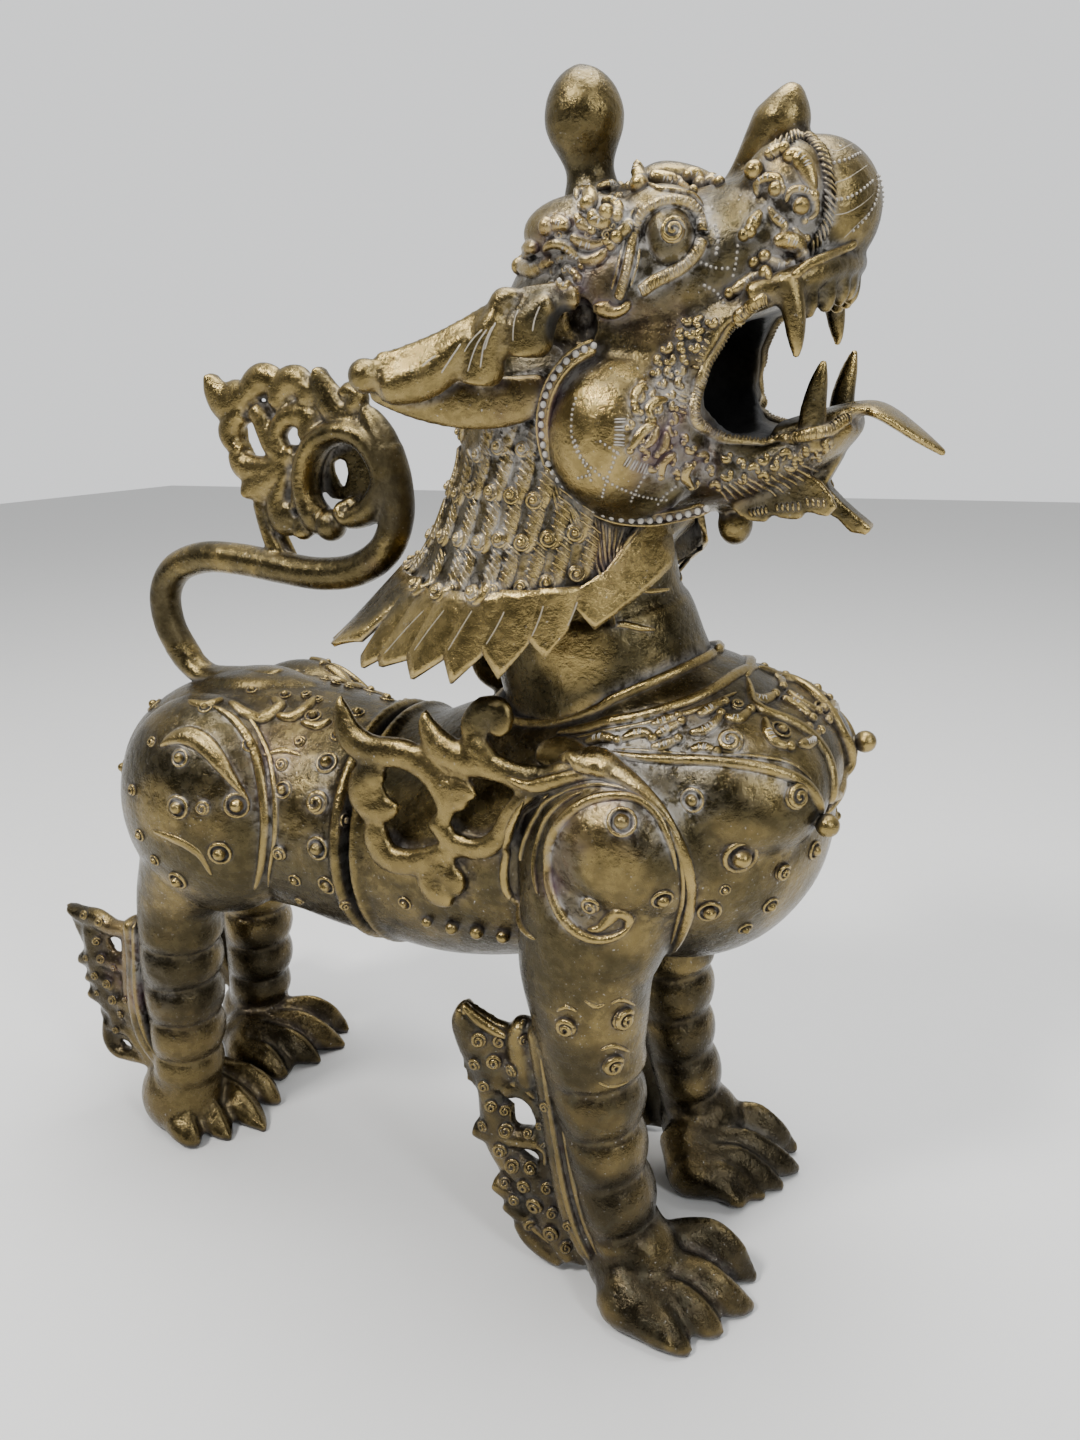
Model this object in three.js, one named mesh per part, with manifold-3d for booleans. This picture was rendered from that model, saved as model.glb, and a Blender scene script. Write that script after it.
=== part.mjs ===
// Guardian lion statue of hollow cast brass, standing with its head raised and its mouth open.
// Millimetres, +Z up. The lion faces +X and its right side is -Y. The numbers below are measured
// from a point on the floor under the middle of its body; the finished group is shifted by
// ORIGIN_SHIFT, so that its own origin is the middle of the underside of its box.
import * as THREE from 'three';
import { mergeVertices } from 'three/addons/utils/BufferGeometryUtils.js';
import Module from 'manifold-3d';

const wasm = await Module();
wasm.setup();

// Driving dimensions
const ORIGIN_SHIFT = [33.65, 7.8];
const PIECE_GAP = 0.4;

const BARREL_RADIUS = 59;
const BARREL_HEIGHT = 192;
const SEAM_X = -40;
const SEAM_GAP = 4;
const SPIGOT_RADIUS = 51;
const SPIGOT_REACH = 16;
const SPIGOT_ROOT = 10;
const RIM_WIDTH = 5;
const RIM_HEIGHT = 3;

const CHEST_CENTRE = [100, 0, 224];
const CHEST_RADII = [67, 70, 70];
const CHEST_DROOP = 13;
const GORGET_RISE = 3;
const GORGET_SLOPE = THREE.MathUtils.degToRad(9);

const SHOULDER_CENTRE = [95, 60, 225];
const SHOULDER_RADIUS = 36;
const SHOULDER_BULGE = 24;

const HAUNCH_CENTRE = [-134, 40, 200];
const HAUNCH_RADII = [52, 35, 56];

const FORE_TRACK = 52;
const HIND_TRACK = 43;
const FAR_HIND_SETBACK = 20;
const FORE_PAW = { heel: 82, reach: 68, spread: 14.5 };
const HIND_PAW = { heel: -196, reach: 60, spread: 13.5 };
const HEEL_HEIGHT = 27;
const CLAW_HEIGHT = 3;
const FIN_PLATE = 8;
const STUD_RADIUS = 6;
const STUD_HEIGHT = 4;

const NECK_FOOT = [68, 0, 273];
const NECK_TILT = THREE.MathUtils.degToRad(19);
const COLLAR_RADII = [48, 43];
const NECK_SPIGOT_RADIUS = 33;
const NECK_SPIGOT_DEPTH = 12;
const HEAD_ROLL = THREE.MathUtils.degToRad(5);

const NOSE_BALL = [151, 0, 460];
const NOSE_BALL_RADII = [24, 24, 24];
const CHEEK_CENTRE = [86, 42, 388];
const CHEEK_RADII = [30, 24, 33];
const EYE_CENTRE = [106, 35, 449];

const TAIL_RADIUS = 8.2;
const TAIL_FLAME_PLATE = 14;
const WING_PLATE = 9;
const WING_TRACK = 66;

const BRASS = { color: 0x8a7238, roughness: 0.42, metalness: 0.9 };
const GOLDEN_BRASS = { color: 0x9a8040, roughness: 0.4, metalness: 0.9 };

// Solids from three.js geometries
function solid(shape) {
  if (!shape.isBufferGeometry) {
    return shape;
  }
  const bare = shape.index ? shape.toNonIndexed() : shape.clone();
  bare.deleteAttribute('normal');
  bare.deleteAttribute('uv');
  const merged = mergeVertices(bare, 1e-4);
  return new wasm.Manifold(new wasm.Mesh({
    numProp: 3,
    vertProperties: new Float32Array(merged.attributes.position.array),
    triVerts: new Uint32Array(merged.index.array),
  }));
}

function join(parts) {
  return parts.map(solid).reduce((whole, part) => whole.add(part));
}

function cut(body, ...cutters) {
  return cutters.map(solid).reduce((rest, cutter) => rest.subtract(cutter), solid(body));
}

function meshOf(name, body, look) {
  const raw = body.getMesh();
  const geometry = new THREE.BufferGeometry();
  geometry.setAttribute('position', new THREE.BufferAttribute(raw.vertProperties, 3));
  geometry.setIndex(new THREE.BufferAttribute(raw.triVerts, 1));
  geometry.computeVertexNormals();
  const mesh = new THREE.Mesh(geometry, new THREE.MeshStandardMaterial(look));
  mesh.name = name;
  return mesh;
}

function vector([x, y, z]) {
  return new THREE.Vector3(x, y, z);
}

function smooth(values, t) {
  const place = t * (values.length - 1);
  const i = Math.min(Math.floor(place), values.length - 2);
  const before = values[Math.max(i - 1, 0)];
  const after = values[Math.min(i + 2, values.length - 1)];
  const f = place - i;
  const [p1, p2] = [values[i], values[i + 1]];
  return 0.5 * (2 * p1 + (p2 - before) * f + (2 * before - 5 * p1 + 4 * p2 - after) * f * f
    + (3 * p1 - before - 3 * p2 + after) * f * f * f);
}

// A point of a body swept along stations [x, y, z, half width, half depth]: t runs from the first
// to the last, the width lies along the given side direction, and reach 1 is the skin.
function sweptPoint(stations, side, t, angle, reach) {
  const small = 1e-3;
  const column = (k, at) => smooth(stations.map((station) => station[k]), at);
  const centre = (at) => new THREE.Vector3(column(0, at), column(1, at), column(2, at));
  const run = centre(Math.min(t + small, 1)).sub(centre(Math.max(t - small, 0))).normalize();
  const across = vector(side).addScaledVector(run, -vector(side).dot(run)).normalize();
  const deep = new THREE.Vector3().crossVectors(across, run);
  return centre(t)
    .addScaledVector(across, Math.cos(angle) * column(3, t) * reach)
    .addScaledVector(deep, Math.sin(angle) * column(4, t) * reach);
}

// The swept body itself: a cylinder whose rings follow the stations. swell(t, angle) can bulge it.
function limb(stations, { sides = 12, steps = 12, side = [0, 1, 0], swell = null } = {}) {
  const geometry = new THREE.CylinderGeometry(1, 1, 1, sides, steps);
  const position = geometry.attributes.position;
  for (let i = 0; i < position.count; i += 1) {
    const t = THREE.MathUtils.clamp(position.getY(i) + 0.5, 0, 1);
    const angle = Math.atan2(position.getZ(i), position.getX(i));
    const reach = Math.hypot(position.getX(i), position.getZ(i)) * (swell ? swell(t, angle) : 1);
    position.setXYZ(i, ...sweptPoint(stations, side, t, angle, reach).toArray());
  }
  return geometry;
}

function tube(points, radius, { sides = 6, steps = 12, side = [0, 1, 0] } = {}) {
  return limb(points.map((point) => [...point, radius, radius]), { sides, steps, side });
}

function ball(centre, radii, { sides = 14, rings = 8 } = {}) {
  const geometry = new THREE.SphereGeometry(1, sides, rings);
  geometry.rotateX(Math.PI / 2);
  geometry.scale(...radii);
  geometry.translate(...centre);
  return geometry;
}

function spike(base, tip, radius) {
  const middle = base.map((value, k) => (value * 2 + tip[k]) / 3);
  const stations = [[...base, radius, radius], [...middle, radius * 0.82, radius * 0.82],
    [...tip, radius * 0.12, radius * 0.12]];
  return limb(stations, { sides: 5, steps: 3 });
}

// A plate cut to a closed outline in the X-Z plane, its middle at the given Y. lean(z) moves a
// point of it sideways.
function plate(outline, thickness, y, { holes = [], lean = null } = {}) {
  const closed = (points) => {
    const round = points.map(([x, z]) => new THREE.Vector2(x, z));
    return THREE.ShapeUtils.isClockWise(round) ? round.reverse() : round;
  };
  const shape = new THREE.Shape(closed(outline));
  holes.forEach((hole) => shape.holes.push(new THREE.Path(closed(hole))));
  const geometry = new THREE.ExtrudeGeometry(shape, { depth: thickness, bevelEnabled: false });
  geometry.translate(0, 0, -thickness / 2);
  geometry.rotateX(Math.PI / 2);
  geometry.translate(0, y, 0);
  if (lean) {
    const position = geometry.attributes.position;
    for (let i = 0; i < position.count; i += 1) {
      position.setY(i, position.getY(i) + lean(position.getZ(i)));
    }
  }
  return geometry;
}

function block(low, high) {
  const size = high.map((value, k) => value - low[k]);
  const geometry = new THREE.BoxGeometry(...size);
  geometry.translate(...low.map((value, k) => value + size[k] / 2));
  return geometry;
}

function mirrored(build) {
  return [-1, 1].map(build);
}

// A raised button whose axis is the skin's normal
function stud(place, normal, radius, height) {
  const geometry = new THREE.ConeGeometry(radius, height * 2, 4);
  const up = new THREE.Vector3(0, 1, 0);
  geometry.applyQuaternion(new THREE.Quaternion().setFromUnitVectors(up, vector(normal).normalize()));
  geometry.translate(...place);
  return geometry;
}

function onBall(centre, radii, azimuth, elevation) {
  const [a, e] = [azimuth, elevation].map(THREE.MathUtils.degToRad);
  const direction = [Math.cos(e) * Math.cos(a), Math.cos(e) * Math.sin(a), Math.sin(e)];
  return {
    place: direction.map((value, k) => centre[k] + value * radii[k]),
    normal: direction.map((value, k) => value / radii[k]),
  };
}

// A clawed paw: a flat sole with four pointed claws, whose top falls from the instep to the tips
function paw({ heel, reach, spread }, track, handed) {
  const toeFork = heel + reach * 0.66;
  const halfHeel = 14;
  const slots = [-1.5, -0.5, 0.5, 1.5];
  const lag = (slot) => slot * slot * (slot * handed > 0 ? 4.2 : 1.6);
  const claws = slots.flatMap((slot) => [
    [toeFork - lag(slot), track + (slot - 0.4) * spread * 0.94],
    [heel + reach - lag(slot), track + slot * spread * 1.06],
    [toeFork - lag(slot), track + (slot + 0.4) * spread * 0.94],
  ]);
  const outline = [[heel, track + halfHeel], [heel - 3, track], [heel, track - halfHeel], ...claws];
  const foot = new THREE.ExtrudeGeometry(
    new THREE.Shape(outline.map(([x, y]) => new THREE.Vector2(x, y))),
    { depth: 1, bevelEnabled: false },
  );
  const position = foot.attributes.position;
  for (let i = 0; i < position.count; i += 1) {
    const along = (position.getX(i) - heel) / reach;
    const tall = THREE.MathUtils.lerp(HEEL_HEIGHT, CLAW_HEIGHT, Math.max(along, 0) ** 1.2);
    position.setZ(i, position.getZ(i) * tall);
  }
  return foot;
}

// The bulging rings down the front of a shin, between two places along the leg
function shinRings(start, end, bulge) {
  const fade = 0.08;
  return (t, angle) => {
    const begun = THREE.MathUtils.smoothstep(t, start, start + fade);
    const ended = THREE.MathUtils.smoothstep(t, end - fade, end);
    const front = Math.max(0, -Math.sin(angle));
    return 1 + begun * (1 - ended) * front * bulge * Math.abs(Math.sin((t - start) * Math.PI * 8));
  };
}

// Foreleg stations [x, z, half width, half depth] from the shoulder to the ankle, and the flame
// fin behind it with its two openings
const FORELEG = [
  [82, 190, 30, 34], [77, 165, 29, 30], [78, 140, 26, 26], [79, 115, 23, 24], [82, 90, 20, 20],
  [86, 65, 18, 17], [92, 40, 17, 16], [97, 22, 18, 16], [100, 8, 18, 16],
];
const FORE_FIN = [
  [15, 132], [33, 127], [52, 136], [64, 128], [72, 56], [76, 6], [60, 10], [44, 28], [33, 48],
  [25, 52], [18, 74], [24, 78], [27, 104], [14, 118],
];
const FORE_FIN_HOLES = [
  [[36, 102], [50, 100], [50, 88], [38, 86]],
  [[38, 77], [52, 76], [53, 64], [42, 60]],
];

function foreleg(handed) {
  const track = handed * FORE_TRACK;
  const stations = FORELEG.map(([x, z, wide, deep]) => [x, track, z, wide, deep]);
  const shaft = limb(stations, { sides: 7, steps: 11, swell: shinRings(0.34, 0.92, 0.11) });
  const fin = plate(FORE_FIN, FIN_PLATE, track * 1.06, { holes: FORE_FIN_HOLES });
  return join([shaft, fin, paw(FORE_PAW, track, handed)]);
}

// Hind leg and fin, told in the same way
const HINDLEG = [
  [-150, 178, 30, 42], [-156, 150, 27, 36], [-165, 122, 23, 26], [-170, 98, 21, 23], [-171, 75, 20, 20],
  [-173, 52, 18, 18], [-175, 32, 18, 18], [-176, 8, 18, 18],
];
const HIND_FIN = [
  [-250, 125], [-235, 118], [-206, 124], [-186, 116], [-186, 46], [-198, 30], [-216, 35],
  [-226, 50], [-234, 58], [-243, 76], [-238, 84], [-246, 96], [-240, 106],
];
const HIND_FIN_HOLES = [
  [[-226, 108], [-208, 106], [-208, 92], [-224, 92]],
  [[-224, 82], [-209, 80], [-209, 64], [-220, 62]],
];

function hindleg(handed) {
  const setback = handed > 0 ? FAR_HIND_SETBACK : 0;
  const track = handed * HIND_TRACK;
  const settle = (z) => setback * (1 - THREE.MathUtils.smoothstep(z, 90, 170));
  const back = (points) => points.map(([x, z]) => [x - setback, z]);
  const stations = HINDLEG.map(([x, z, wide, deep]) => [x - settle(z), track, z, wide, deep]);
  const shaft = limb(stations, { sides: 7, steps: 10, swell: shinRings(0.4, 0.9, 0.1) });
  const fin = plate(back(HIND_FIN), FIN_PLATE, track * 1.05, { holes: HIND_FIN_HOLES.map(back) });
  return join([shaft, fin, paw({ ...HIND_PAW, heel: HIND_PAW.heel - setback }, track, handed)]);
}

// The chest bulb with the barrel behind it, as one skin that can be grown outwards
function chestSkin(grow) {
  const [cx, , cz] = CHEST_CENTRE;
  const [rx, ry, rz] = CHEST_RADII.map((radius) => radius + grow);
  const dome = [-0.45, -0.1, 0.25, 0.55, 0.8, 0.94, 0.995].map((f) => {
    const size = Math.sqrt(1 - f * f);
    return [cx + rx * f, 0, cz + CHEST_DROOP * f, ry * size, rz * size];
  });
  const barrel = [[SEAM_X, 0, 0], [-10, 0, 2], [22, 9, 4]].map(([x, rise, swell]) => [
    x, 0, BARREL_HEIGHT + rise, BARREL_RADIUS + grow + swell * 0.8, BARREL_RADIUS + grow + swell]);
  return limb([...barrel, ...dome], { sides: 14, steps: 9 });
}

// The collar plate over the upper front of the chest
function gorget() {
  const above = new THREE.BoxGeometry(220, 220, 100);
  above.translate(0, 0, 50);
  above.rotateY(GORGET_SLOPE);
  above.translate(130, 0, 247);
  const ahead = block([52, -120, 120], [240, 120, 340]);
  return solid(chestSkin(GORGET_RISE)).intersect(solid(above)).intersect(solid(ahead));
}

// The ridge down the middle of the gorget, with a knob on it and one at its foot
const KEEL = [[134, 0, 292], [150, 0, 281], [162, 0, 266], [168, 0, 250], [169, 0, 233], [167, 0, 218]];

function keel() {
  return [
    tube(KEEL, 3.2, { sides: 4, steps: 5 }),
    tube([[165, 0, 252], [175, 0, 254]], 2.4, { sides: 4, steps: 1 }),
    ball([176, 0, 254.5], [4.6, 4.6, 4.6], { sides: 6, rings: 4 }),
    ball([168, 0, 219], [6, 6, 6], { sides: 6, rings: 4 }),
  ];
}

// A shoulder boss: a dome inside a raised rim, whose lathe profile is [radius, height]
function shoulder(handed) {
  const [x, y, z] = SHOULDER_CENTRE;
  const rimFoot = SHOULDER_BULGE - 13;
  const profile = [[0, SHOULDER_BULGE], [15, SHOULDER_BULGE - 2], [25, SHOULDER_BULGE - 9], [27, rimFoot],
    [30, SHOULDER_BULGE - 9], [33, rimFoot], [SHOULDER_RADIUS - 2, -14], [0, -14]];
  const disc = new THREE.LatheGeometry(profile.map(([r, h]) => new THREE.Vector2(r, h)).reverse(), 12);
  if (handed < 0) {
    disc.rotateX(Math.PI);
  }
  disc.translate(x, handed * y, z);
  return disc;
}

// The openwork flame wing that stands off the shoulder and reaches back over the seam
const WING = [
  [-41, 277], [-32, 269], [-20, 262], [-6, 264], [3, 274], [24, 260], [40, 278], [50, 273],
  [46, 262], [58, 256], [90, 266], [104, 262], [86, 250], [66, 240], [58, 220], [38, 208],
  [34, 196], [22, 188], [8, 204], [-14, 192], [-24, 202], [-24, 216], [-35, 230], [-30, 256],
];
const WING_HOLES = [
  [[-18, 246], [-8, 248], [0, 236], [-8, 216]],
  [[18, 250], [36, 256], [46, 244], [40, 228], [24, 230]],
];

function flameWing(handed) {
  return plate(WING, WING_PLATE, handed * WING_TRACK, {
    lean: (z) => handed * -Math.max(0, z - 235) * 0.12,
    holes: WING_HOLES,
  });
}

const NECK_FRAME = new THREE.Matrix4().makeRotationY(-NECK_TILT).setPosition(...NECK_FOOT);
const HEAD_TURN = new THREE.Matrix4().makeTranslation(0, 0, NECK_FOOT[2])
  .multiply(new THREE.Matrix4().makeRotationX(HEAD_ROLL))
  .multiply(new THREE.Matrix4().makeTranslation(0, 0, -NECK_FOOT[2]));

// What the neck takes out of the chest: its spigot's socket and the bed of its collar
function neckSocket() {
  const tall = 80;
  const well = new THREE.CylinderGeometry(NECK_SPIGOT_RADIUS + 1.5, NECK_SPIGOT_RADIUS + 1.5, tall, 14);
  well.rotateX(Math.PI / 2);
  well.translate(0, 0, tall / 2 - NECK_SPIGOT_DEPTH - 1);
  const bed = new THREE.CylinderGeometry(1, 1, tall, 18);
  bed.rotateX(Math.PI / 2);
  bed.scale(COLLAR_RADII[0] + 3, COLLAR_RADII[1] + 3, 1);
  bed.translate(0, 0, tall / 2 - PIECE_GAP);
  return [well, bed].map((part) => part.applyMatrix4(NECK_FRAME).applyMatrix4(HEAD_TURN));
}

function seamSocket() {
  const reach = SPIGOT_REACH - SEAM_GAP + PIECE_GAP;
  const radius = SPIGOT_RADIUS + PIECE_GAP;
  const hole = new THREE.CylinderGeometry(radius, radius, reach * 2, 14);
  hole.rotateZ(Math.PI / 2);
  hole.translate(SEAM_X, 0, BARREL_HEIGHT);
  return hole;
}

// The raised rim that each half of the body has beside the seam
function seamRim(x) {
  const radius = BARREL_RADIUS + RIM_HEIGHT;
  const geometry = new THREE.CylinderGeometry(radius, radius, RIM_WIDTH, 14);
  geometry.rotateZ(Math.PI / 2);
  geometry.translate(x, 0, BARREL_HEIGHT);
  return geometry;
}

function chestStuds() {
  const rows = [[-12, [-78, -52, -24]], [-34, [-66, -36, -8]]];
  return rows.flatMap(([elevation, azimuths]) => azimuths.flatMap((azimuth) => mirrored((handed) => {
    const { place, normal } = onBall(CHEST_CENTRE, CHEST_RADII, -handed * azimuth, elevation);
    return stud(place, normal, STUD_RADIUS, STUD_HEIGHT);
  })));
}

function frontBody() {
  const whole = join([
    chestSkin(0), gorget(), ...keel(), seamRim(SEAM_X + RIM_WIDTH * 0.7), ...mirrored(shoulder),
    ...mirrored(foreleg), ...mirrored(flameWing), ...chestStuds(),
  ]);
  return cut(whole, ...neckSocket(), seamSocket());
}

// Rear half: stations of the barrel and of the leaf that seats the tail on the rump
const SLEEVE_X = SEAM_X - SEAM_GAP;
const RUMP = [
  [SLEEVE_X, 0, 192, 59, 59], [-60, 0, 192, 59, 59], [-85, 0, 196, 60, 59], [-110, 0, 199, 63, 60],
  [-140, 0, 200, 64, 60], [-168, 0, 200, 60, 56], [-190, 0, 199, 48, 46], [-204, 0, 198, 33, 33],
  [-212, 0, 198, 12, 12],
];
const TAIL_SEAT = [[-96, 0, 256, 4, 3], [-112, 0, 258, 12, 4], [-132, 0, 259, 18, 5], [-155, 0, 256, 16, 5],
  [-176, 0, 246, 12, 5]];
const HAUNCH_STUDS = [[-150, 30], [-120, 32], [-95, 10], [-150, -8], [-120, -30], [-80, -20]];

function haunch(handed) {
  const centre = [HAUNCH_CENTRE[0], handed * HAUNCH_CENTRE[1], HAUNCH_CENTRE[2]];
  const studs = HAUNCH_STUDS.map(([azimuth, elevation]) => {
    const { place, normal } = onBall(centre, HAUNCH_RADII, -handed * azimuth, elevation);
    return stud(place, normal, STUD_RADIUS, STUD_HEIGHT);
  });
  return [ball(centre, HAUNCH_RADII, { sides: 11, rings: 6 }), ...studs];
}

function rearBody() {
  const barrel = limb(RUMP, { sides: 14, steps: 7 });
  const spigot = new THREE.CylinderGeometry(SPIGOT_RADIUS, SPIGOT_RADIUS, SPIGOT_REACH + SPIGOT_ROOT, 14);
  spigot.rotateZ(Math.PI / 2);
  spigot.translate(SLEEVE_X + (SPIGOT_REACH - SPIGOT_ROOT) / 2, 0, BARREL_HEIGHT);
  const whole = join([
    barrel, spigot, ...mirrored(haunch).flat(), ...mirrored(hindleg), seamRim(SLEEVE_X - RIM_WIDTH * 0.7),
    limb(TAIL_SEAT, { sides: 6, steps: 4 }),
  ]);
  return cut(whole, tailTongue(PIECE_GAP));
}

// Tail: a flattened tongue in the seat on the rump, an S of round bar and an openwork flame
function tailTongue(grow) {
  return limb([
    [-118, 0, 262, 5 + grow, 2.4 + grow], [-130, 0, 261.5, 9 + grow, 3.2 + grow],
    [-150, 0, 259, 10 + grow, 4 + grow], [-168, 0, 257, 9 + grow, 6 + grow],
    [-179, 0, 263, TAIL_RADIUS + grow, 7.4 + grow], [-187, 0, 273, TAIL_RADIUS + grow, TAIL_RADIUS + grow],
  ], { sides: 8, steps: 4 });
}

const TAIL_PATH = [
  [-181, 0, 265], [-191, 0, 282], [-192, 0, 300], [-182, 0, 314], [-162, 0, 321], [-138, 0, 321],
  [-112, 0, 318], [-88, 0, 316], [-66, 0, 319], [-49, 0, 329], [-41, 0, 345], [-41, 0, 362],
  [-46, 0, 377], [-54, 0, 392],
];
const TAIL_FLAME = [
  [-146, 414], [-136, 405], [-114, 411], [-103, 406], [-92, 409], [-84, 416], [-77, 405], [-50, 412],
  [-45, 384], [-50, 356], [-64, 346], [-96, 334], [-108, 339], [-116, 352], [-126, 352], [-128, 370],
  [-136, 384], [-143, 402],
];
const TAIL_FLAME_HOLES = [
  [[-72, 380], [-58, 375], [-56, 358], [-70, 350], [-80, 358], [-80, 372]],
  [[-122, 394], [-109, 395], [-109, 378], [-119, 380]],
];
const TAIL_STRUT = [[-120, 0, 352], [-113, 0, 336], [-104, 0, 322]];

function tail() {
  const bar = tube(TAIL_PATH, TAIL_RADIUS, { sides: 6, steps: 15 });
  const flame = plate(TAIL_FLAME, TAIL_FLAME_PLATE, 0, { holes: TAIL_FLAME_HOLES });
  const ring = new THREE.TorusGeometry(18, 4.5, 4, 8);
  ring.scale(0.92, 1, 2.2);
  ring.rotateX(Math.PI / 2);
  ring.translate(-68, 0, 364);
  const strut = tube(TAIL_STRUT, 3.5, { sides: 6, steps: 3 });
  return join([bar, tailTongue(0), flame, ring, strut]);
}

// Head. The neck's stations over the collar: [x, y, z, how much slimmer than the collar]
const NECK = [[0, 0, 0, 0], [0, 0, 12, 1], [1, 0, 26, 1.5], [2, 0, 30, 5.5], [5, 0, 46, 7], [11, 0, 70, 8],
  [16, 0, 95, 12]];

function neck() {
  const stations = NECK.map(([x, y, z, slim]) => [x, y, z, COLLAR_RADII[1] - slim, COLLAR_RADII[0] - slim]);
  const root = 12;
  const long = NECK_SPIGOT_DEPTH + root;
  const spigot = new THREE.CylinderGeometry(NECK_SPIGOT_RADIUS, NECK_SPIGOT_RADIUS, long, 14);
  spigot.rotateX(Math.PI / 2);
  spigot.translate(0, 0, (root - NECK_SPIGOT_DEPTH) / 2);
  return [limb(stations, { sides: 12, steps: 6 }), spigot].map((part) => part.applyMatrix4(NECK_FRAME));
}

// Mane: a bell round the neck, cut along its rising lower edge and hollowed from below
const MANE = [
  [56, 0, 438, 34, 28], [54, 0, 418, 46, 38], [55, 0, 395, 53, 43], [55, 0, 368, 57, 48],
  [50, 0, 338, 60, 56], [44, 0, 315, 65, 63], [38, 0, 299, 71, 70], [32, 0, 284, 77, 77],
];
const MANE_HEM = [[-60, 306], [-20, 309], [20, 312], [56, 318], [84, 326], [100, 338], [112, 350], [124, 366],
  [150, 400]];
const MANE_WALL = 7;

function mane() {
  const bell = (grow, sides, steps) => limb(
    MANE.map(([x, y, z, wide, deep]) => [x, y, z, wide + grow, deep + grow]), { sides, steps });
  const below = plate([...MANE_HEM, [160, 200], [-120, 200]], 260, 0);
  const hollow = solid(bell(-MANE_WALL, 10, 3)).intersect(solid(block([-80, -90, 250], [140, 90, 345])));
  return cut(bell(0, 14, 6), below, hollow);
}

// A point of the bell at a bearing: 180 degrees is the nape, and the two sides are plus and minus
function manePoint(t, degrees) {
  const bearing = THREE.MathUtils.degToRad(degrees);
  const angle = Math.atan2(-Math.cos(bearing), Math.sin(bearing));
  return sweptPoint(MANE, [0, 1, 0], t, angle, 1).toArray();
}

function hemHeight(x) {
  const next = MANE_HEM.findIndex(([edge]) => edge > x);
  const [[x0, z0], [x1, z1]] = [MANE_HEM[next - 1], MANE_HEM[next]];
  return z0 + ((z1 - z0) * (x - x0)) / (x1 - x0);
}

// Feathers of the hem: flat pointed blades that flare out from its edge, less and less forwards
const FEATHER_ANGLES = [180, 161, 142, 124, 107, 90, 72];
const HEM_PLACE = 0.84;
const FEATHER_DROP = 25;
const FEATHER_FLARE = 17;
const FEATHER_HALF_WIDTH = 15;

function feather(degrees, order) {
  const angle = THREE.MathUtils.degToRad(degrees);
  const [x, y] = manePoint(HEM_PLACE, degrees);
  const out = new THREE.Vector3(Math.cos(angle), Math.sin(angle), 0);
  const root = new THREE.Vector3(x, y, hemHeight(x) + 6).addScaledVector(out, -4);
  const tip = new THREE.Vector3(x, y, hemHeight(x) - FEATHER_DROP + order * 1.4)
    .addScaledVector(out, FEATHER_FLARE - order * 1.9);
  const run = tip.clone().sub(root);
  const blade = new THREE.ConeGeometry(FEATHER_HALF_WIDTH, run.length(), 4);
  blade.scale(1, 1, 0.32);
  const across = new THREE.Vector3(-out.y, out.x, 0);
  const along = run.clone().normalize();
  const frame = new THREE.Matrix4().makeBasis(across, along, new THREE.Vector3().crossVectors(across, along));
  frame.setPosition(root.addScaledVector(run, 0.5));
  return blade.applyMatrix4(frame);
}

function hemFeathers() {
  return FEATHER_ANGLES.flatMap((degrees, order) => {
    const sides = degrees === 180 ? [1] : [1, -1];
    return sides.map((handed) => feather(degrees * handed, order));
  });
}

// Curls of the mane in staggered rows: [place down the bell, degrees between two curls]
const CURL_ROWS = [[0.44, 36], [0.6, 31], [0.76, 26]];
const CURL_RADIUS = 8;
const CURL_HEIGHT = 4.5;
const FRONT_CURL = 84;

function maneCurls() {
  return CURL_ROWS.flatMap(([t, spacing], row) => {
    const start = 180 - (row % 2) * spacing * 0.5;
    const count = Math.ceil((start - FRONT_CURL) / spacing);
    const angles = Array.from({ length: count }, (_, i) => start - i * spacing);
    return angles.flatMap((degrees) => (degrees === 180 ? [1] : [1, -1]).map((handed) => {
      const bearing = THREE.MathUtils.degToRad(degrees * handed);
      const normal = [Math.cos(bearing), Math.sin(bearing), 0.1];
      return stud(manePoint(t, degrees * handed), normal, CURL_RADIUS, CURL_HEIGHT);
    }));
  });
}

// Skull: the cranium with its snout, the lower jaw, and the cheeks that join them
const CRANIUM = [
  [40, 0, 426, 28, 20], [54, 0, 432, 43, 30], [72, 0, 436, 50, 35], [90, 0, 438, 50, 35],
  [108, 0, 440, 45, 34], [124, 0, 446, 38, 27], [142, 0, 453, 33, 24], [160, 0, 458, 22, 17],
];
const JAW = [
  [74, 0, 394, 46, 34], [96, 0, 386, 46, 34], [118, 0, 377, 41, 25], [138, 0, 372, 36, 17],
  [154, 0, 374, 31, 14], [166, 0, 379, 24, 12], [171, 0, 382, 16, 8],
];
const FACE = [
  [80, 0, 420, 50, 40], [104, 0, 414, 46, 38], [122, 0, 414, 41, 34], [136, 0, 420, 39, 30],
  [150, 0, 432, 36, 20],
];
const MOUTH = [
  [113, 397], [117, 414], [126, 425], [152, 432], [168, 441], [210, 450], [210, 390], [176, 395],
  [160, 388], [142, 382], [122, 381],
];

function skull() {
  const flesh = join([
    limb(CRANIUM, { sides: 10, steps: 7 }),
    limb(JAW, { sides: 9, steps: 5 }),
    limb(FACE, { sides: 8, steps: 3 }),
  ]);
  const throat = ball([110, 0, 404], [34, 34, 24], { sides: 8, rings: 6 });
  return cut(flesh, plate(MOUTH, 200, 0), throat);
}

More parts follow.
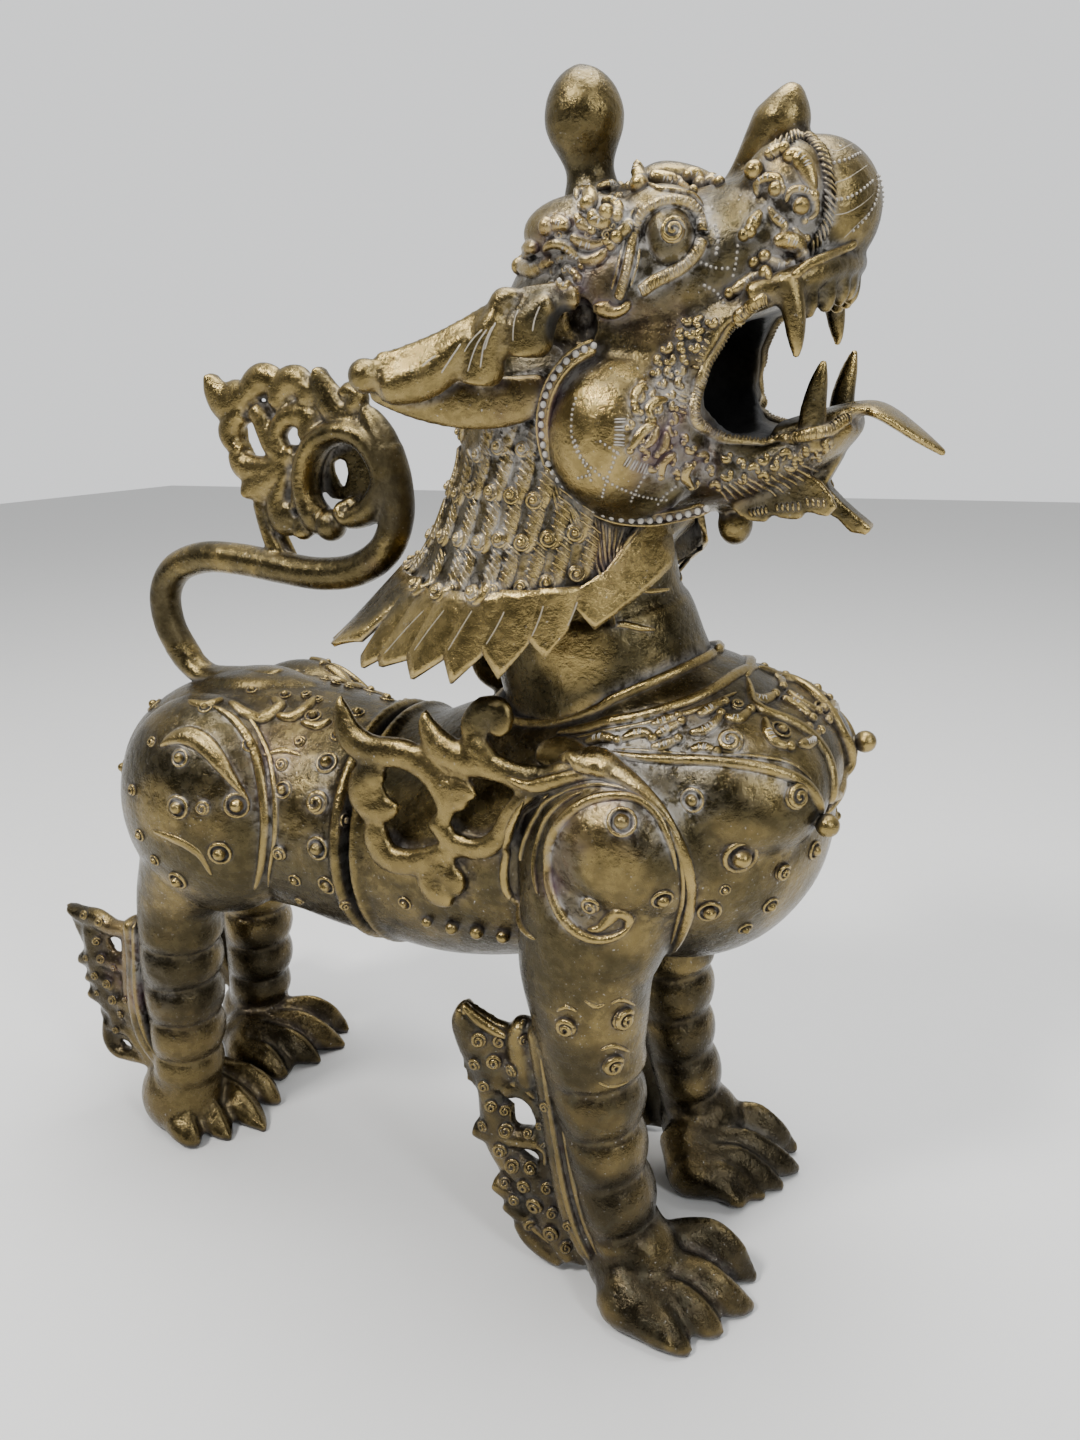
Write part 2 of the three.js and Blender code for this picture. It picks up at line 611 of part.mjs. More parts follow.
// The mace-shaped horn on the crown, as a lathe profile [radius, height], and the bud on the nose
const CROWN_HORN = [
  [0, -14], [12, -14], [12, 0], [9.2, 12], [14, 24], [15, 31], [12.5, 39], [7, 45], [0, 48],
];
const NOSE_HORN = [
  [118, 0, 462, 6, 6], [127, 0, 472, 7, 7], [135, 0, 482, 10, 9.5], [140, 0, 490, 11, 10],
  [142, 0, 497, 7, 6], [142, 0, 501, 2, 2],
];

function horns() {
  const crown = new THREE.LatheGeometry(CROWN_HORN.map(([r, h]) => new THREE.Vector2(r, h)), 9);
  crown.rotateX(Math.PI / 2);
  crown.rotateY(THREE.MathUtils.degToRad(-5));
  crown.translate(67.5, 0, 469);
  return [crown, limb(NOSE_HORN, { sides: 7, steps: 5 })];
}

// An ear is a swept-back leaf: stations [x, middle height, half height, half thickness]
const EAR = [[86, 424, 10, 6], [68, 420, 12, 7], [58, 413, 15, 7], [48, 412, 11, 6], [38, 406, 11, 5],
  [20, 404, 7, 5], [8, 405, 4, 5], [-3, 410, 4.5, 4]];
const EAR_ROOT = 62;
const EAR_SPREAD = 0.28;

function ear(handed) {
  const out = (x) => handed * (EAR_ROOT + Math.max(0, 76 - x) * EAR_SPREAD);
  const stations = EAR.map(([x, z, tall, thick]) => [x, out(x), z, tall, thick]);
  return limb(stations, { sides: 6, steps: 7, side: [0, 0, 1] });
}

const UPPER_LID = [
  [84, 50, 427], [88, 49, 441], [94, 46, 455], [104, 42, 463], [116, 39, 464], [127, 38, 456],
];
const LOWER_LID = [[86, 52, 424], [98, 50, 431], [112, 46, 438], [122, 42, 446], [127, 38, 456]];

function eye(handed) {
  const side = ([x, y, z]) => [x, handed * y, z];
  const lids = [UPPER_LID, LOWER_LID].map((lid) => tube(lid.map(side), 3.2, { sides: 4, steps: 5 }));
  return [ball(side(EYE_CENTRE), [15, 13, 11], { sides: 7, rings: 5 }), ...lids];
}

// Cheek boss and its band, nostril volute, temple curls and tusks
const CHEEK_BAND = [[74, 56, 420], [64, 59, 402], [62, 61, 384], [72, 61, 368], [92, 56, 359], [114, 47, 356],
  [136, 37, 358]];

function faceRelief(handed) {
  const side = ([x, y, z]) => [x, handed * y, z];
  return [
    ball(side(CHEEK_CENTRE), CHEEK_RADII, { sides: 10, rings: 6 }),
    tube(CHEEK_BAND.map(side), 3.6, { sides: 4, steps: 6 }),
    ball(side([143, 24, 461]), [17, 12, 17], { sides: 8, rings: 5 }),
    ball(side([84, 42, 464]), [10, 8, 8], { sides: 5, rings: 4 }),
    ball(side([67, 48, 452]), [11, 9, 9], { sides: 5, rings: 4 }),
    spike(side([150, 33, 436]), side([154, 36, 412]), 5.5),
    spike(side([159, 25, 378]), side([163, 29, 411]), 5.5),
  ];
}

// Tongue, chin and the serrated fringe under the jaw
const TONGUE = [[140, 0, 384, 16, 3], [158, 0, 389, 15, 3], [172, 0, 392, 11, 2.6], [180, 0, 390, 13, 2.6],
  [192, 0, 382, 9, 2.2], [202, 0, 375, 1.5, 1.2]];
const CHIN = [
  [122, 372], [150, 376], [168, 376], [162, 364], [168, 358], [178, 348], [164, 352], [156, 352],
  [150, 348], [142, 352], [134, 347], [128, 353], [118, 350],
];
const FRINGE = [
  [112, 362], [140, 364], [164, 364], [158, 354], [150, 349], [142, 353], [134, 348], [126, 354],
  [118, 349],
];
const CREST = [[84, 0, 470, 10, 4], [94, 0, 476, 11, 5], [106, 0, 475, 7, 4], [114, 0, 472, 3, 3]];

function tongueAndChin() {
  return [
    limb(TONGUE, { sides: 6, steps: 5 }),
    plate(CHIN, 14, 0),
    ...mirrored((handed) => plate(FRINGE, 5, handed * 24)),
    ball([124, 0, 348], [7, 8, 9], { sides: 6, rings: 4 }),
  ];
}

function head() {
  return join([
    ...neck(), mane(), ...hemFeathers(), ...maneCurls(), skull(), ...horns(),
    ball(NOSE_BALL, NOSE_BALL_RADII, { sides: 11, rings: 7 }), ...mirrored(ear), ...mirrored(eye).flat(),
    ...mirrored(faceRelief).flat(), ...tongueAndChin(), limb(CREST, { sides: 8, steps: 5 }),
  ]);
}

const group = new THREE.Group();
group.name = 'guardian_lion';
group.add(meshOf('front_body', frontBody(), BRASS));
group.add(meshOf('rear_body', rearBody(), BRASS));
group.add(meshOf('tail', tail(), GOLDEN_BRASS));
const raised = meshOf('head', head(), BRASS);
raised.applyMatrix4(HEAD_TURN);
group.add(raised);
group.position.set(...ORIGIN_SHIFT, 0);

export default group;
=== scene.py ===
"""Guardian lion statue of cast brass: the cast skins, their ornament and the patina."""
import math

import bmesh
import bpy
from bpy.props import FloatProperty, FloatVectorProperty, IntProperty, PointerProperty
from bpy.types import Operator, Panel, PropertyGroup
from mathutils import Matrix, Vector
from mathutils.bvhtree import BVHTree


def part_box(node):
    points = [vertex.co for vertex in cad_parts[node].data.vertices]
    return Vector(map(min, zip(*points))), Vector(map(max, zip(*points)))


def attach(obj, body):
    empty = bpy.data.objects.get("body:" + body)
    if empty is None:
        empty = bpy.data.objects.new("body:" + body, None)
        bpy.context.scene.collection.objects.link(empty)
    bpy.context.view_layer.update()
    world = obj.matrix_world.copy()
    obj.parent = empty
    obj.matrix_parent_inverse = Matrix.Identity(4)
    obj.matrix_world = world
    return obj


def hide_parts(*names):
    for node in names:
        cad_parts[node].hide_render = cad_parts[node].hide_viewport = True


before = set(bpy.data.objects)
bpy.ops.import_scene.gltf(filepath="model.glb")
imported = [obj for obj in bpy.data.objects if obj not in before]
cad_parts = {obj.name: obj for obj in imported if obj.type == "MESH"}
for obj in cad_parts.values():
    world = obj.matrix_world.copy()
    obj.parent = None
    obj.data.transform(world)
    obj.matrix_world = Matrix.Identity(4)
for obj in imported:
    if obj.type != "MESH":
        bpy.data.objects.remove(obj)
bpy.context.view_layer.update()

bl_info = {
    "name": "Guardian Lion",
    "version": (1, 0, 0),
    "blender": (4, 5, 0),
    "location": "3D View > Sidebar > Lion",
    "description": "Builds a cast brass guardian lion piece by piece",
    "category": "Object",
}

# Shapes are told in millimetres from a point on the floor under the middle of the body, with the
# lion facing +X. They are carried to the frame's own metres and origin when a piece is finished.
MM = 0.001
REAR_REACH = 269.95
TAIL_LOW, TAIL_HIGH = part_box("tail")
ORIGIN_SHIFT = Vector((
    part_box("rear_body")[0][0] / MM + REAR_REACH,
    (TAIL_LOW[1] + TAIL_HIGH[1]) / 2 / MM,
    0,
))
TO_FRAME = Matrix.Scale(MM, 4) @ Matrix.Translation(ORIGIN_SHIFT)

X, Y, Z = Vector((1, 0, 0)), Vector((0, 1, 0)), Vector((0, 0, 1))
TAU = math.tau

# The head is told upright and is rolled to one side about the foot of the neck
NECK_FOOT = Vector((68, 0, 273))
NECK_TILT = math.radians(19)
HEAD_TURN = (
    Matrix.Translation(Z * NECK_FOOT.z)
    @ Matrix.Rotation(math.radians(5), 4, "X")
    @ Matrix.Translation(-Z * NECK_FOOT.z)
)

# The way to the far wall of the room
ROOM_BACK = (-0.43, 0.9, 0)

# The photograph's camera
PHOTO_SIZE = (1080, 1440)
FOCAL_PX = 1081.9
CAMERA_AT = Vector((243.055, -436.9, 396.88))
CAMERA_TURN = (
    Matrix.Rotation(math.radians(25.8187), 4, "Z")
    @ Matrix.Rotation(math.radians(90 - 16.5012), 4, "X")
    @ Matrix.Rotation(math.radians(-1.2), 4, "Z")
)


class Sight:
    """What a pixel of the photograph looks at, in the body's frame or in the head's upright one"""

    def __init__(self, turn=Matrix()):
        self.at = turn @ CAMERA_AT
        axes = (turn @ CAMERA_TURN).to_3x3()
        self.right, self.up, self.ahead = axes @ X, axes @ Y, axes @ -Z

    def ray(self, u, v):
        across = (u - PHOTO_SIZE[0] / 2) / FOCAL_PX
        above = (PHOTO_SIZE[1] / 2 - v) / FOCAL_PX
        return (self.ahead + self.right * across + self.up * above).normalized()

    def on_side(self, u, v, y, lean=0.0, x=0.0):
        """Where a pixel's line of sight meets the upright plane at y, which may lean about x"""
        ray = self.ray(u, v)
        return self.at + ray * ((y - self.at.y + lean * (self.at.x - x)) / (ray.y - lean * ray.x))


    def on_level(self, u, v, z):
        """Where a pixel's line of sight meets the level plane at height z"""
        ray = self.ray(u, v)
        return self.at + ray * ((z - self.at.z) / ray.z)


BODY_SIGHT = Sight()
HEAD_SIGHT = Sight(HEAD_TURN.inverted())


class Skin:
    """A finished surface that ornament is laid on"""

    def __init__(self, shape, sight=BODY_SIGHT):
        self.tree = BVHTree.FromBMesh(shape)
        self.sight = sight

    def near(self, point):
        place, normal, _, _ = self.tree.find_nearest(Vector(point))
        return place, normal

    def seen(self, u, v):
        """Where a pixel's line of sight meets the surface, or else where it passes nearest"""
        ray = self.sight.ray(u, v)
        place, normal, _, _ = self.tree.ray_cast(self.sight.at, ray)
        if place is None:
            tries = [self.sight.at + ray * reach for reach in range(250, 1000, 6)]
            place, normal = self.near(min(tries, key=lambda point: (self.near(point)[0] - point).length))
        return place, normal

    def track(self, points, spacing):
        """A smooth line over the surface through points or pixels, as [(place, normal), ...]"""
        knots = [self.seen(*p)[0] if len(p) == 2 else self.near(p)[0] for p in points]
        length = sum((b - a).length for a, b in zip(knots, knots[1:]))
        steps = max(3, round(length / spacing))
        return [self.near(along(knots, step / steps)) for step in range(steps + 1)]


def clamp(value, low=0.0, high=1.0):
    return max(low, min(high, value))


def ease(value, low, high):
    """Rises smoothly from 0 at low to 1 at high"""
    t = clamp((value - low) / (high - low))
    return t * t * (3 - 2 * t)


def along(stations, t):
    """A Catmull-Rom curve through stations, as a vector of the same length"""
    place = clamp(t) * (len(stations) - 1)
    i = min(int(place), len(stations) - 2)
    f = place - i
    a = Vector(stations[max(i - 1, 0)])
    b, c = Vector(stations[i]), Vector(stations[i + 1])
    d = Vector(stations[min(i + 2, len(stations) - 1)])
    bend = (a * 2 - b * 5 + c * 4 - d) * (f * f)
    return (b * 2 + (c - a) * f + bend + (b * 3 - a - c * 3 + d) * (f ** 3)) * 0.5


def first_three(values):
    return Vector(values[:3])


def basis(across, up, ahead, place):
    turned = Matrix((across, up, ahead)).transposed().to_4x4()
    turned.translation = place
    return turned


def new_shape():
    shape = bmesh.new()
    shape.verts.layers.float.new("turn")
    shape.verts.layers.float.new("white")
    return shape


def loft(target, rings, sides=16, swell=None, loop=False, white=0.0):
    """A body through rings, each a matrix that carries the unit circle to its place"""
    shape = new_shape()
    turn = shape.verts.layers.float["turn"]
    ring = bmesh.ops.create_circle(shape, segments=sides, radius=1, cap_ends=False)["verts"]
    for vert in ring:
        vert[turn] = math.atan2(vert.co.y, vert.co.x)
    first = edges = list({edge for vert in ring for edge in vert.link_edges})
    for step, place in enumerate(rings):
        if step:
            made = bmesh.ops.extrude_edge_only(shape, edges=edges)["geom"]
            ring = [part for part in made if isinstance(part, bmesh.types.BMVert)]
            edges = [part for part in made if isinstance(part, bmesh.types.BMEdge)]
        for vert in ring:
            angle = vert[turn]
            reach = swell(step / (len(rings) - 1), angle) if swell else 1
            vert.co = place @ Vector((math.cos(angle) * reach, math.sin(angle) * reach, 0))
    if loop:
        bmesh.ops.bridge_loops(shape, edges=first + edges)
    else:
        bmesh.ops.edgeloop_fill(shape, edges=first)
        bmesh.ops.edgeloop_fill(shape, edges=edges)
    whiten(shape, white)
    add(target, shape)
    shape.free()


def whiten(shape, amount):
    """Fills a part with chalk"""
    layer = shape.verts.layers.float["white"]
    for vert in shape.verts:
        vert[layer] = amount


def rounding(t, head, tail):
    """How far a ring at t is drawn in where the body's two ends are rounded"""
    reach = 1.0
    if head and t < head:
        reach = math.sqrt(max(1 - (1 - t / head) ** 2, 0))
    if tail and t > 1 - tail:
        reach = min(reach, math.sqrt(max(1 - (1 - (1 - t) / tail) ** 2, 0)))
    return max(reach, 0.03)


def limb(shape, stations, sides=24, steps=32, side=Y, swell=None, head=0, tail=0):
    """A body swept along stations (x, y, z, half width, half depth), the width along side"""
    rings = []
    small = 1e-3
    for step in range(steps + 1):
        t = step / steps
        place = along(stations, t)
        ahead = first_three(along(stations, min(t + small, 1)) - along(stations, max(t - small, 0)))
        ahead.normalize()
        across = (side - ahead * side.dot(ahead)).normalized()
        drawn = rounding(t, head, tail)
        rings.append(basis(
            across * place[3] * drawn, across.cross(ahead) * place[4] * drawn, ahead, first_three(place)))
    loft(shape, rings, sides, swell)


def tube(shape, points, radius, **options):
    limb(shape, [(*point[:3], radius, radius) for point in points], **options)


def ball(shape, centre, radii, sides=32, rings=20, turn=None):
    size = Matrix.Diagonal((*radii, 1))
    place = Matrix.Translation(Vector(centre)) @ (turn or Matrix()) @ size
    bmesh.ops.create_uvsphere(shape, u_segments=sides, v_segments=rings, radius=1, matrix=place)


def lathe(shape, profile, place, sides=48):
    """A body turned about Z from a profile of (radius, height), then carried by place"""
    verts = [shape.verts.new((radius, 0, height)) for radius, height in profile]
    edges = [shape.edges.new(pair) for pair in zip(verts, verts[1:])]
    made = bmesh.ops.spin(
        shape, geom=verts + edges, axis=Z, cent=(0, 0, 0), steps=sides, angle=TAU, use_merge=True)
    whole = list({v for v in shape.verts if v.is_valid and v in set(verts)}) + [
        part for part in made["geom_last"] if isinstance(part, bmesh.types.BMVert)]
    reached = set(whole)
    fresh = list(whole)
    while fresh:
        vert = fresh.pop()
        for edge in vert.link_edges:
            other = edge.other_vert(vert)
            if other not in reached:
                reached.add(other)
                fresh.append(other)
    bmesh.ops.remove_doubles(shape, verts=list(reached), dist=1e-4)
    reached = [vert for vert in reached if vert.is_valid]
    bmesh.ops.transform(shape, matrix=place, verts=reached)


def add(target, source, place=None):
    """Copies one shape into another, carried by place, which may mirror it"""
    bmesh.ops.recalc_face_normals(source, faces=source.faces)
    mesh = bpy.data.meshes.new("part")
    source.to_mesh(mesh)
    if place is not None:
        mesh.transform(place)
        if place.determinant() < 0:
            mesh.flip_normals()
    target.from_mesh(mesh)
    bpy.data.meshes.remove(mesh)


def add_both(target, source):
    """Adds a shape of the right side and its mirror image on the left"""
    add(target, source)
    add(target, source, Matrix.Diagonal((1, -1, 1, 1)))


def refined(shape, build):
    """The shape after a modifier that build sets up, as a new shape"""
    mesh = bpy.data.meshes.new("raw")
    shape.to_mesh(mesh)
    raw = bpy.data.objects.new("raw", mesh)
    bpy.context.scene.collection.objects.link(raw)
    build(raw)
    graph = bpy.context.evaluated_depsgraph_get()
    result = bpy.data.meshes.new_from_object(raw.evaluated_get(graph))
    out = new_shape()
    out.from_mesh(result)
    bpy.data.objects.remove(raw)
    bpy.data.meshes.remove(mesh)
    bpy.data.meshes.remove(result)
    return out


def fused(shape, grain, passes=2):
    """The overlapping bodies cast into one skin, with its grain in millimetres"""
    bmesh.ops.recalc_face_normals(shape, faces=shape.faces)

    def build(raw):
        remesh = raw.modifiers.new("cast", "REMESH")
        remesh.mode = "VOXEL"
        remesh.voxel_size = grain
        soften = raw.modifiers.new("soften", "SMOOTH")
        soften.factor = 0.5
        soften.iterations = passes

    return refined(shape, build)


def thinned(shape, most):
    """The shape with no more than a number of triangles, of which the flattest places lose most"""
    count = sum(len(face.verts) - 2 for face in shape.faces)
    if count <= most:
        return shape

    def build(raw):
        raw.modifiers.new("thin", "DECIMATE").ratio = most / count

    return refined(shape, build)


def carved(shape, cutter):
    """The shape with the cutter's body taken out"""
    bmesh.ops.recalc_face_normals(cutter, faces=cutter.faces)
    mesh = bpy.data.meshes.new("cutter")
    cutter.to_mesh(mesh)
    tool = bpy.data.objects.new("cutter", mesh)
    bpy.context.scene.collection.objects.link(tool)

    def build(raw):
        cut = raw.modifiers.new("cut", "BOOLEAN")
        cut.operation = "DIFFERENCE"
        cut.solver = "EXACT"
        cut.object = tool

    out = refined(shape, build)
    bpy.data.objects.remove(tool)
    bpy.data.meshes.remove(mesh)
    return out


def slab(shape, outline, thickness, y=0):
    """A plate cut to an outline of (x, z) and centred on y"""
    verts = [shape.verts.new((x, y - thickness / 2, z)) for x, z in outline]
    face = shape.faces.new(verts)
    made = bmesh.ops.extrude_face_region(shape, geom=[face])["geom"]
    moved = [part for part in made if isinstance(part, bmesh.types.BMVert)]
    bmesh.ops.translate(shape, verts=moved, vec=Y * thickness)


# Ornament
def graded(values, t):
    """A number, or the one found at t in a tuple of numbers that is spread from 0 to 1"""
    if not isinstance(values, tuple):
        return values
    place = clamp(t) * (len(values) - 1)
    i = min(int(place), len(values) - 2)
    return values[i] + (values[i + 1] - values[i]) * (place - i)


def strip(shape, track, width, height, sides=8, sink=0.3, swell=None, head=0.15, tail=0.15, white=0.0):
    """A raised band along a track over the skin, told by its half width and its height"""
    rings = []
    last = len(track) - 1
    for step, (place, normal) in enumerate(track):
        t = step / last
        ahead = (track[min(step + 1, last)][0] - track[max(step - 1, 0)][0]).normalized()
        across = normal.cross(ahead).normalized()
        up = ahead.cross(across)
        drawn = rounding(t, head, tail)
        rings.append(basis(across * graded(width, t) * drawn, up * graded(height, t) * drawn, ahead,
                           place - up * sink))
    loft(shape, rings, sides, swell, white=white)


def track_length(track):
    return sum((b[0] - a[0]).length for a, b in zip(track, track[1:]))


def band(shape, skin, points, width, height, spacing=1.6, **options):
    """A raised band through points or pixels"""
    strip(shape, skin.track(points, spacing), width, height, **options)


def ribs(shape, track, half, pitch, thick, height, slant=0.0, lift=0.0, white=0.0):
    """Short ridges across a track, set at a slant"""
    travelled = pitch / 2
    for (a, _), (b, normal) in zip(track, track[1:]):
        travelled += (b - a).length
        if travelled < pitch:
            continue
        travelled -= pitch
        ahead = (b - a).normalized()
        out = (normal.cross(ahead) + ahead * slant).normalized() * half
        rings = []
        for reach, size in ((-1, 0.3), (-0.7, 0.9), (0, 1.0), (0.7, 0.9), (1, 0.3)):
            place = b + out * reach + normal * lift * (1 - 0.7 * reach * reach)
            rings.append(basis(ahead * thick * size, normal * height * size, out.normalized(), place))
        loft(shape, rings, sides=5, white=white)


def cord(shape, skin, points, half, height, pitch, slant=0.25, spacing=0.5):
    """A raised band with ridges across it"""
    track = skin.track(points, spacing)
    strip(shape, track, half, height, head=0.03, tail=0.03)
    ribs(shape, track, half * 0.86, pitch, pitch * 0.3, pitch * 0.42, slant, height * 0.84)


def scroll(shape, skin, points, width, height, hatch=True, curl=True):
    """A swelling band that is hatched in its middle and ends in a curl"""
    track = skin.track(points, 0.8)
    strip(shape, track, width, height)
    if hatch:
        middle = track[len(track) * 3 // 10:len(track) * 6 // 10]
        half = graded(width, 0.45)
        ribs(shape, middle, half * 0.62, 1.25, 0.25, 0.4, 0.1, graded(height, 0.45) * 0.9, 0.8)
    if curl:
        place, normal = track[-1]
        radius = graded(width, 0.9) * 1.15
        ball(shape, place + normal * radius * 0.35, (radius,) * 3, 10, 7)


def beads(shape, track, radius, gap, white=0.0):
    """A row of round beads along a track, which may be filled with chalk"""
    row = new_shape()
    travelled = gap
    for (a, _), (b, normal) in zip(track, track[1:]):
        travelled += (b - a).length
        if travelled >= gap:
            travelled -= gap
            ball(row, b + normal * radius * 0.3, (radius,) * 3, sides=8, rings=5)
    whiten(row, white)
    add(shape, row)
    row.free()


def facing(normal, up=Z):
    """The turn that carries Z to the normal and Y towards up"""
    across = up.cross(normal)
    if across.length < 1e-3:
        across = X.cross(normal)
    across.normalize()
    return Matrix((across, normal.cross(across), normal)).transposed().to_4x4()


def knob(shape, skin, point, radius, proud=0.5, tall=1.0):
    """A round knob on the skin"""
    place, normal = skin.seen(*point) if len(point) == 2 else skin.near(point)
    part = new_shape()
    ball(part, place + normal * radius * proud, (radius, radius, radius * tall), 14, 9, facing(normal))
    add(shape, part)
    part.free()


def spiral(shape, place, normal, radius, height, thread=None, turns=1.75, up=Z, handed=1, start=0):
    """A curl: a low dome with a thread wound up to its top"""
    thread = thread or radius * 0.24
    turned = facing(normal, up)
    place_of = Matrix.Translation(place) @ turned
    part = new_shape()
    ball(part, place, (radius * 0.86, radius * 0.86, height * 0.62), sides=12, rings=6, turn=turned)
    rings = []
    steps = round(turns * 12)
    for step in range(steps + 1):
        t = step / steps
        angle = start + handed * TAU * turns * t
        reach = (radius - thread) * (1 - t) ** 0.8
        lift = height * (0.25 + 0.6 * t)
        out = Vector((math.cos(angle), math.sin(angle), 0))
        ahead = Vector((-out.y, out.x, 0)) * handed
        size = thread * (1 - 0.35 * t) * rounding(t, 0.12, 0.08)
        rings.append(place_of @ basis(out * size, Z * size, ahead, out * reach + Z * lift))
    loft(part, rings, sides=6)
    add(shape, part)
    part.free()


def stud(shape, place, normal, radius):
    """A round boss inside a raised ring"""
    turned = Matrix.Translation(place) @ facing(normal)
    part = new_shape()
    ball(part, place + normal * radius * 0.15, (radius * 0.55, radius * 0.55, radius * 0.62), 12, 8, facing(normal))
    rings = []
    for step in range(16):
        angle = TAU * step / 16
        out = Vector((math.cos(angle), math.sin(angle), 0))
        rings.append(turned @ basis(out * radius * 0.17, Z * radius * 0.24, Vector((-out.y, out.x, 0)),
                                    out * radius * 0.86))
    loft(part, rings, sides=6, loop=True)
    add(shape, part)
    part.free()


def studs(shape, skin, spots):
    """Bosses and curls in turn, at pixels or points, each with its radius in millimetres"""
    for i, (*point, radius) in enumerate(spots):
        place, normal = skin.seen(*point) if len(point) == 2 else skin.near(point)
        if i % 3 == 1:
            spiral(shape, place, normal, radius, radius * 0.6)
        else:
            stud(shape, place, normal, radius)


def polyline(points, t):
    """The point found at t along a list of points that is spread from 0 to 1"""
    place = clamp(t) * (len(points) - 1)
    i = min(int(place), len(points) - 2)
    return Vector(points[i]).lerp(Vector(points[i + 1]), place - i)


def hair(shape, skin, first, last, count, thick=0.75, bow=0.0, white=0.0):
    """Fine ridges that run from one line of pixels to another"""
    for strand in range(count):
        s = strand / max(count - 1, 1)
        a, b = polyline(first, s), polyline(last, s)
        side = Vector((b.y - a.y, a.x - b.x)) * bow
        track = skin.track([tuple(a), tuple((a + b) / 2 + side), tuple(b)], 2.2)
        strip(shape, track, thick, thick * 1.2, sides=5, sink=0.1, head=0.2, tail=0.3, white=white)


# Patina, with painted shade and painted sheen
class Recipe:
    """A material built node by node"""

    def __init__(self, name):
        self.material = bpy.data.materials.new(name)
        self.material.use_nodes = True
        self.tree = self.material.node_tree
        self.tree.nodes.clear()

    def add(self, kind, inputs=None, **settings):
        made = self.tree.nodes.new(kind)
        for key, value in settings.items():
            setattr(made, key, value)
        for key, value in (inputs or {}).items():
            if isinstance(value, bpy.types.NodeSocket):
                self.tree.links.new(value, made.inputs[key])
            else:
                made.inputs[key].default_value = value
        return made

    def noise(self, where, scale, detail=4.0, rough=0.55):
        made = self.add("ShaderNodeTexNoise", {
            "Vector": where, "Scale": scale, "Detail": detail, "Roughness": rough})
        return made.outputs["Fac"]

    def math(self, operation, *values):
        made = self.add("ShaderNodeMath", dict(enumerate(values)), operation=operation)
        return made.outputs[0]

    def reach(self, value, low, high, out_low=0.0, out_high=1.0):
        made = self.add("ShaderNodeMapRange", {
            "Value": value, "From Min": low, "From Max": high, "To Min": out_low, "To Max": out_high,
        }, interpolation_type="SMOOTHSTEP")
        return made.outputs["Result"]

    def mix(self, amount, first, second):
        made = self.add("ShaderNodeMix", {"Factor": amount, 6: first, 7: second}, data_type="RGBA")
        return made.outputs[2]

    def attribute(self, name):
        return self.add("ShaderNodeAttribute", attribute_name=name).outputs["Fac"]


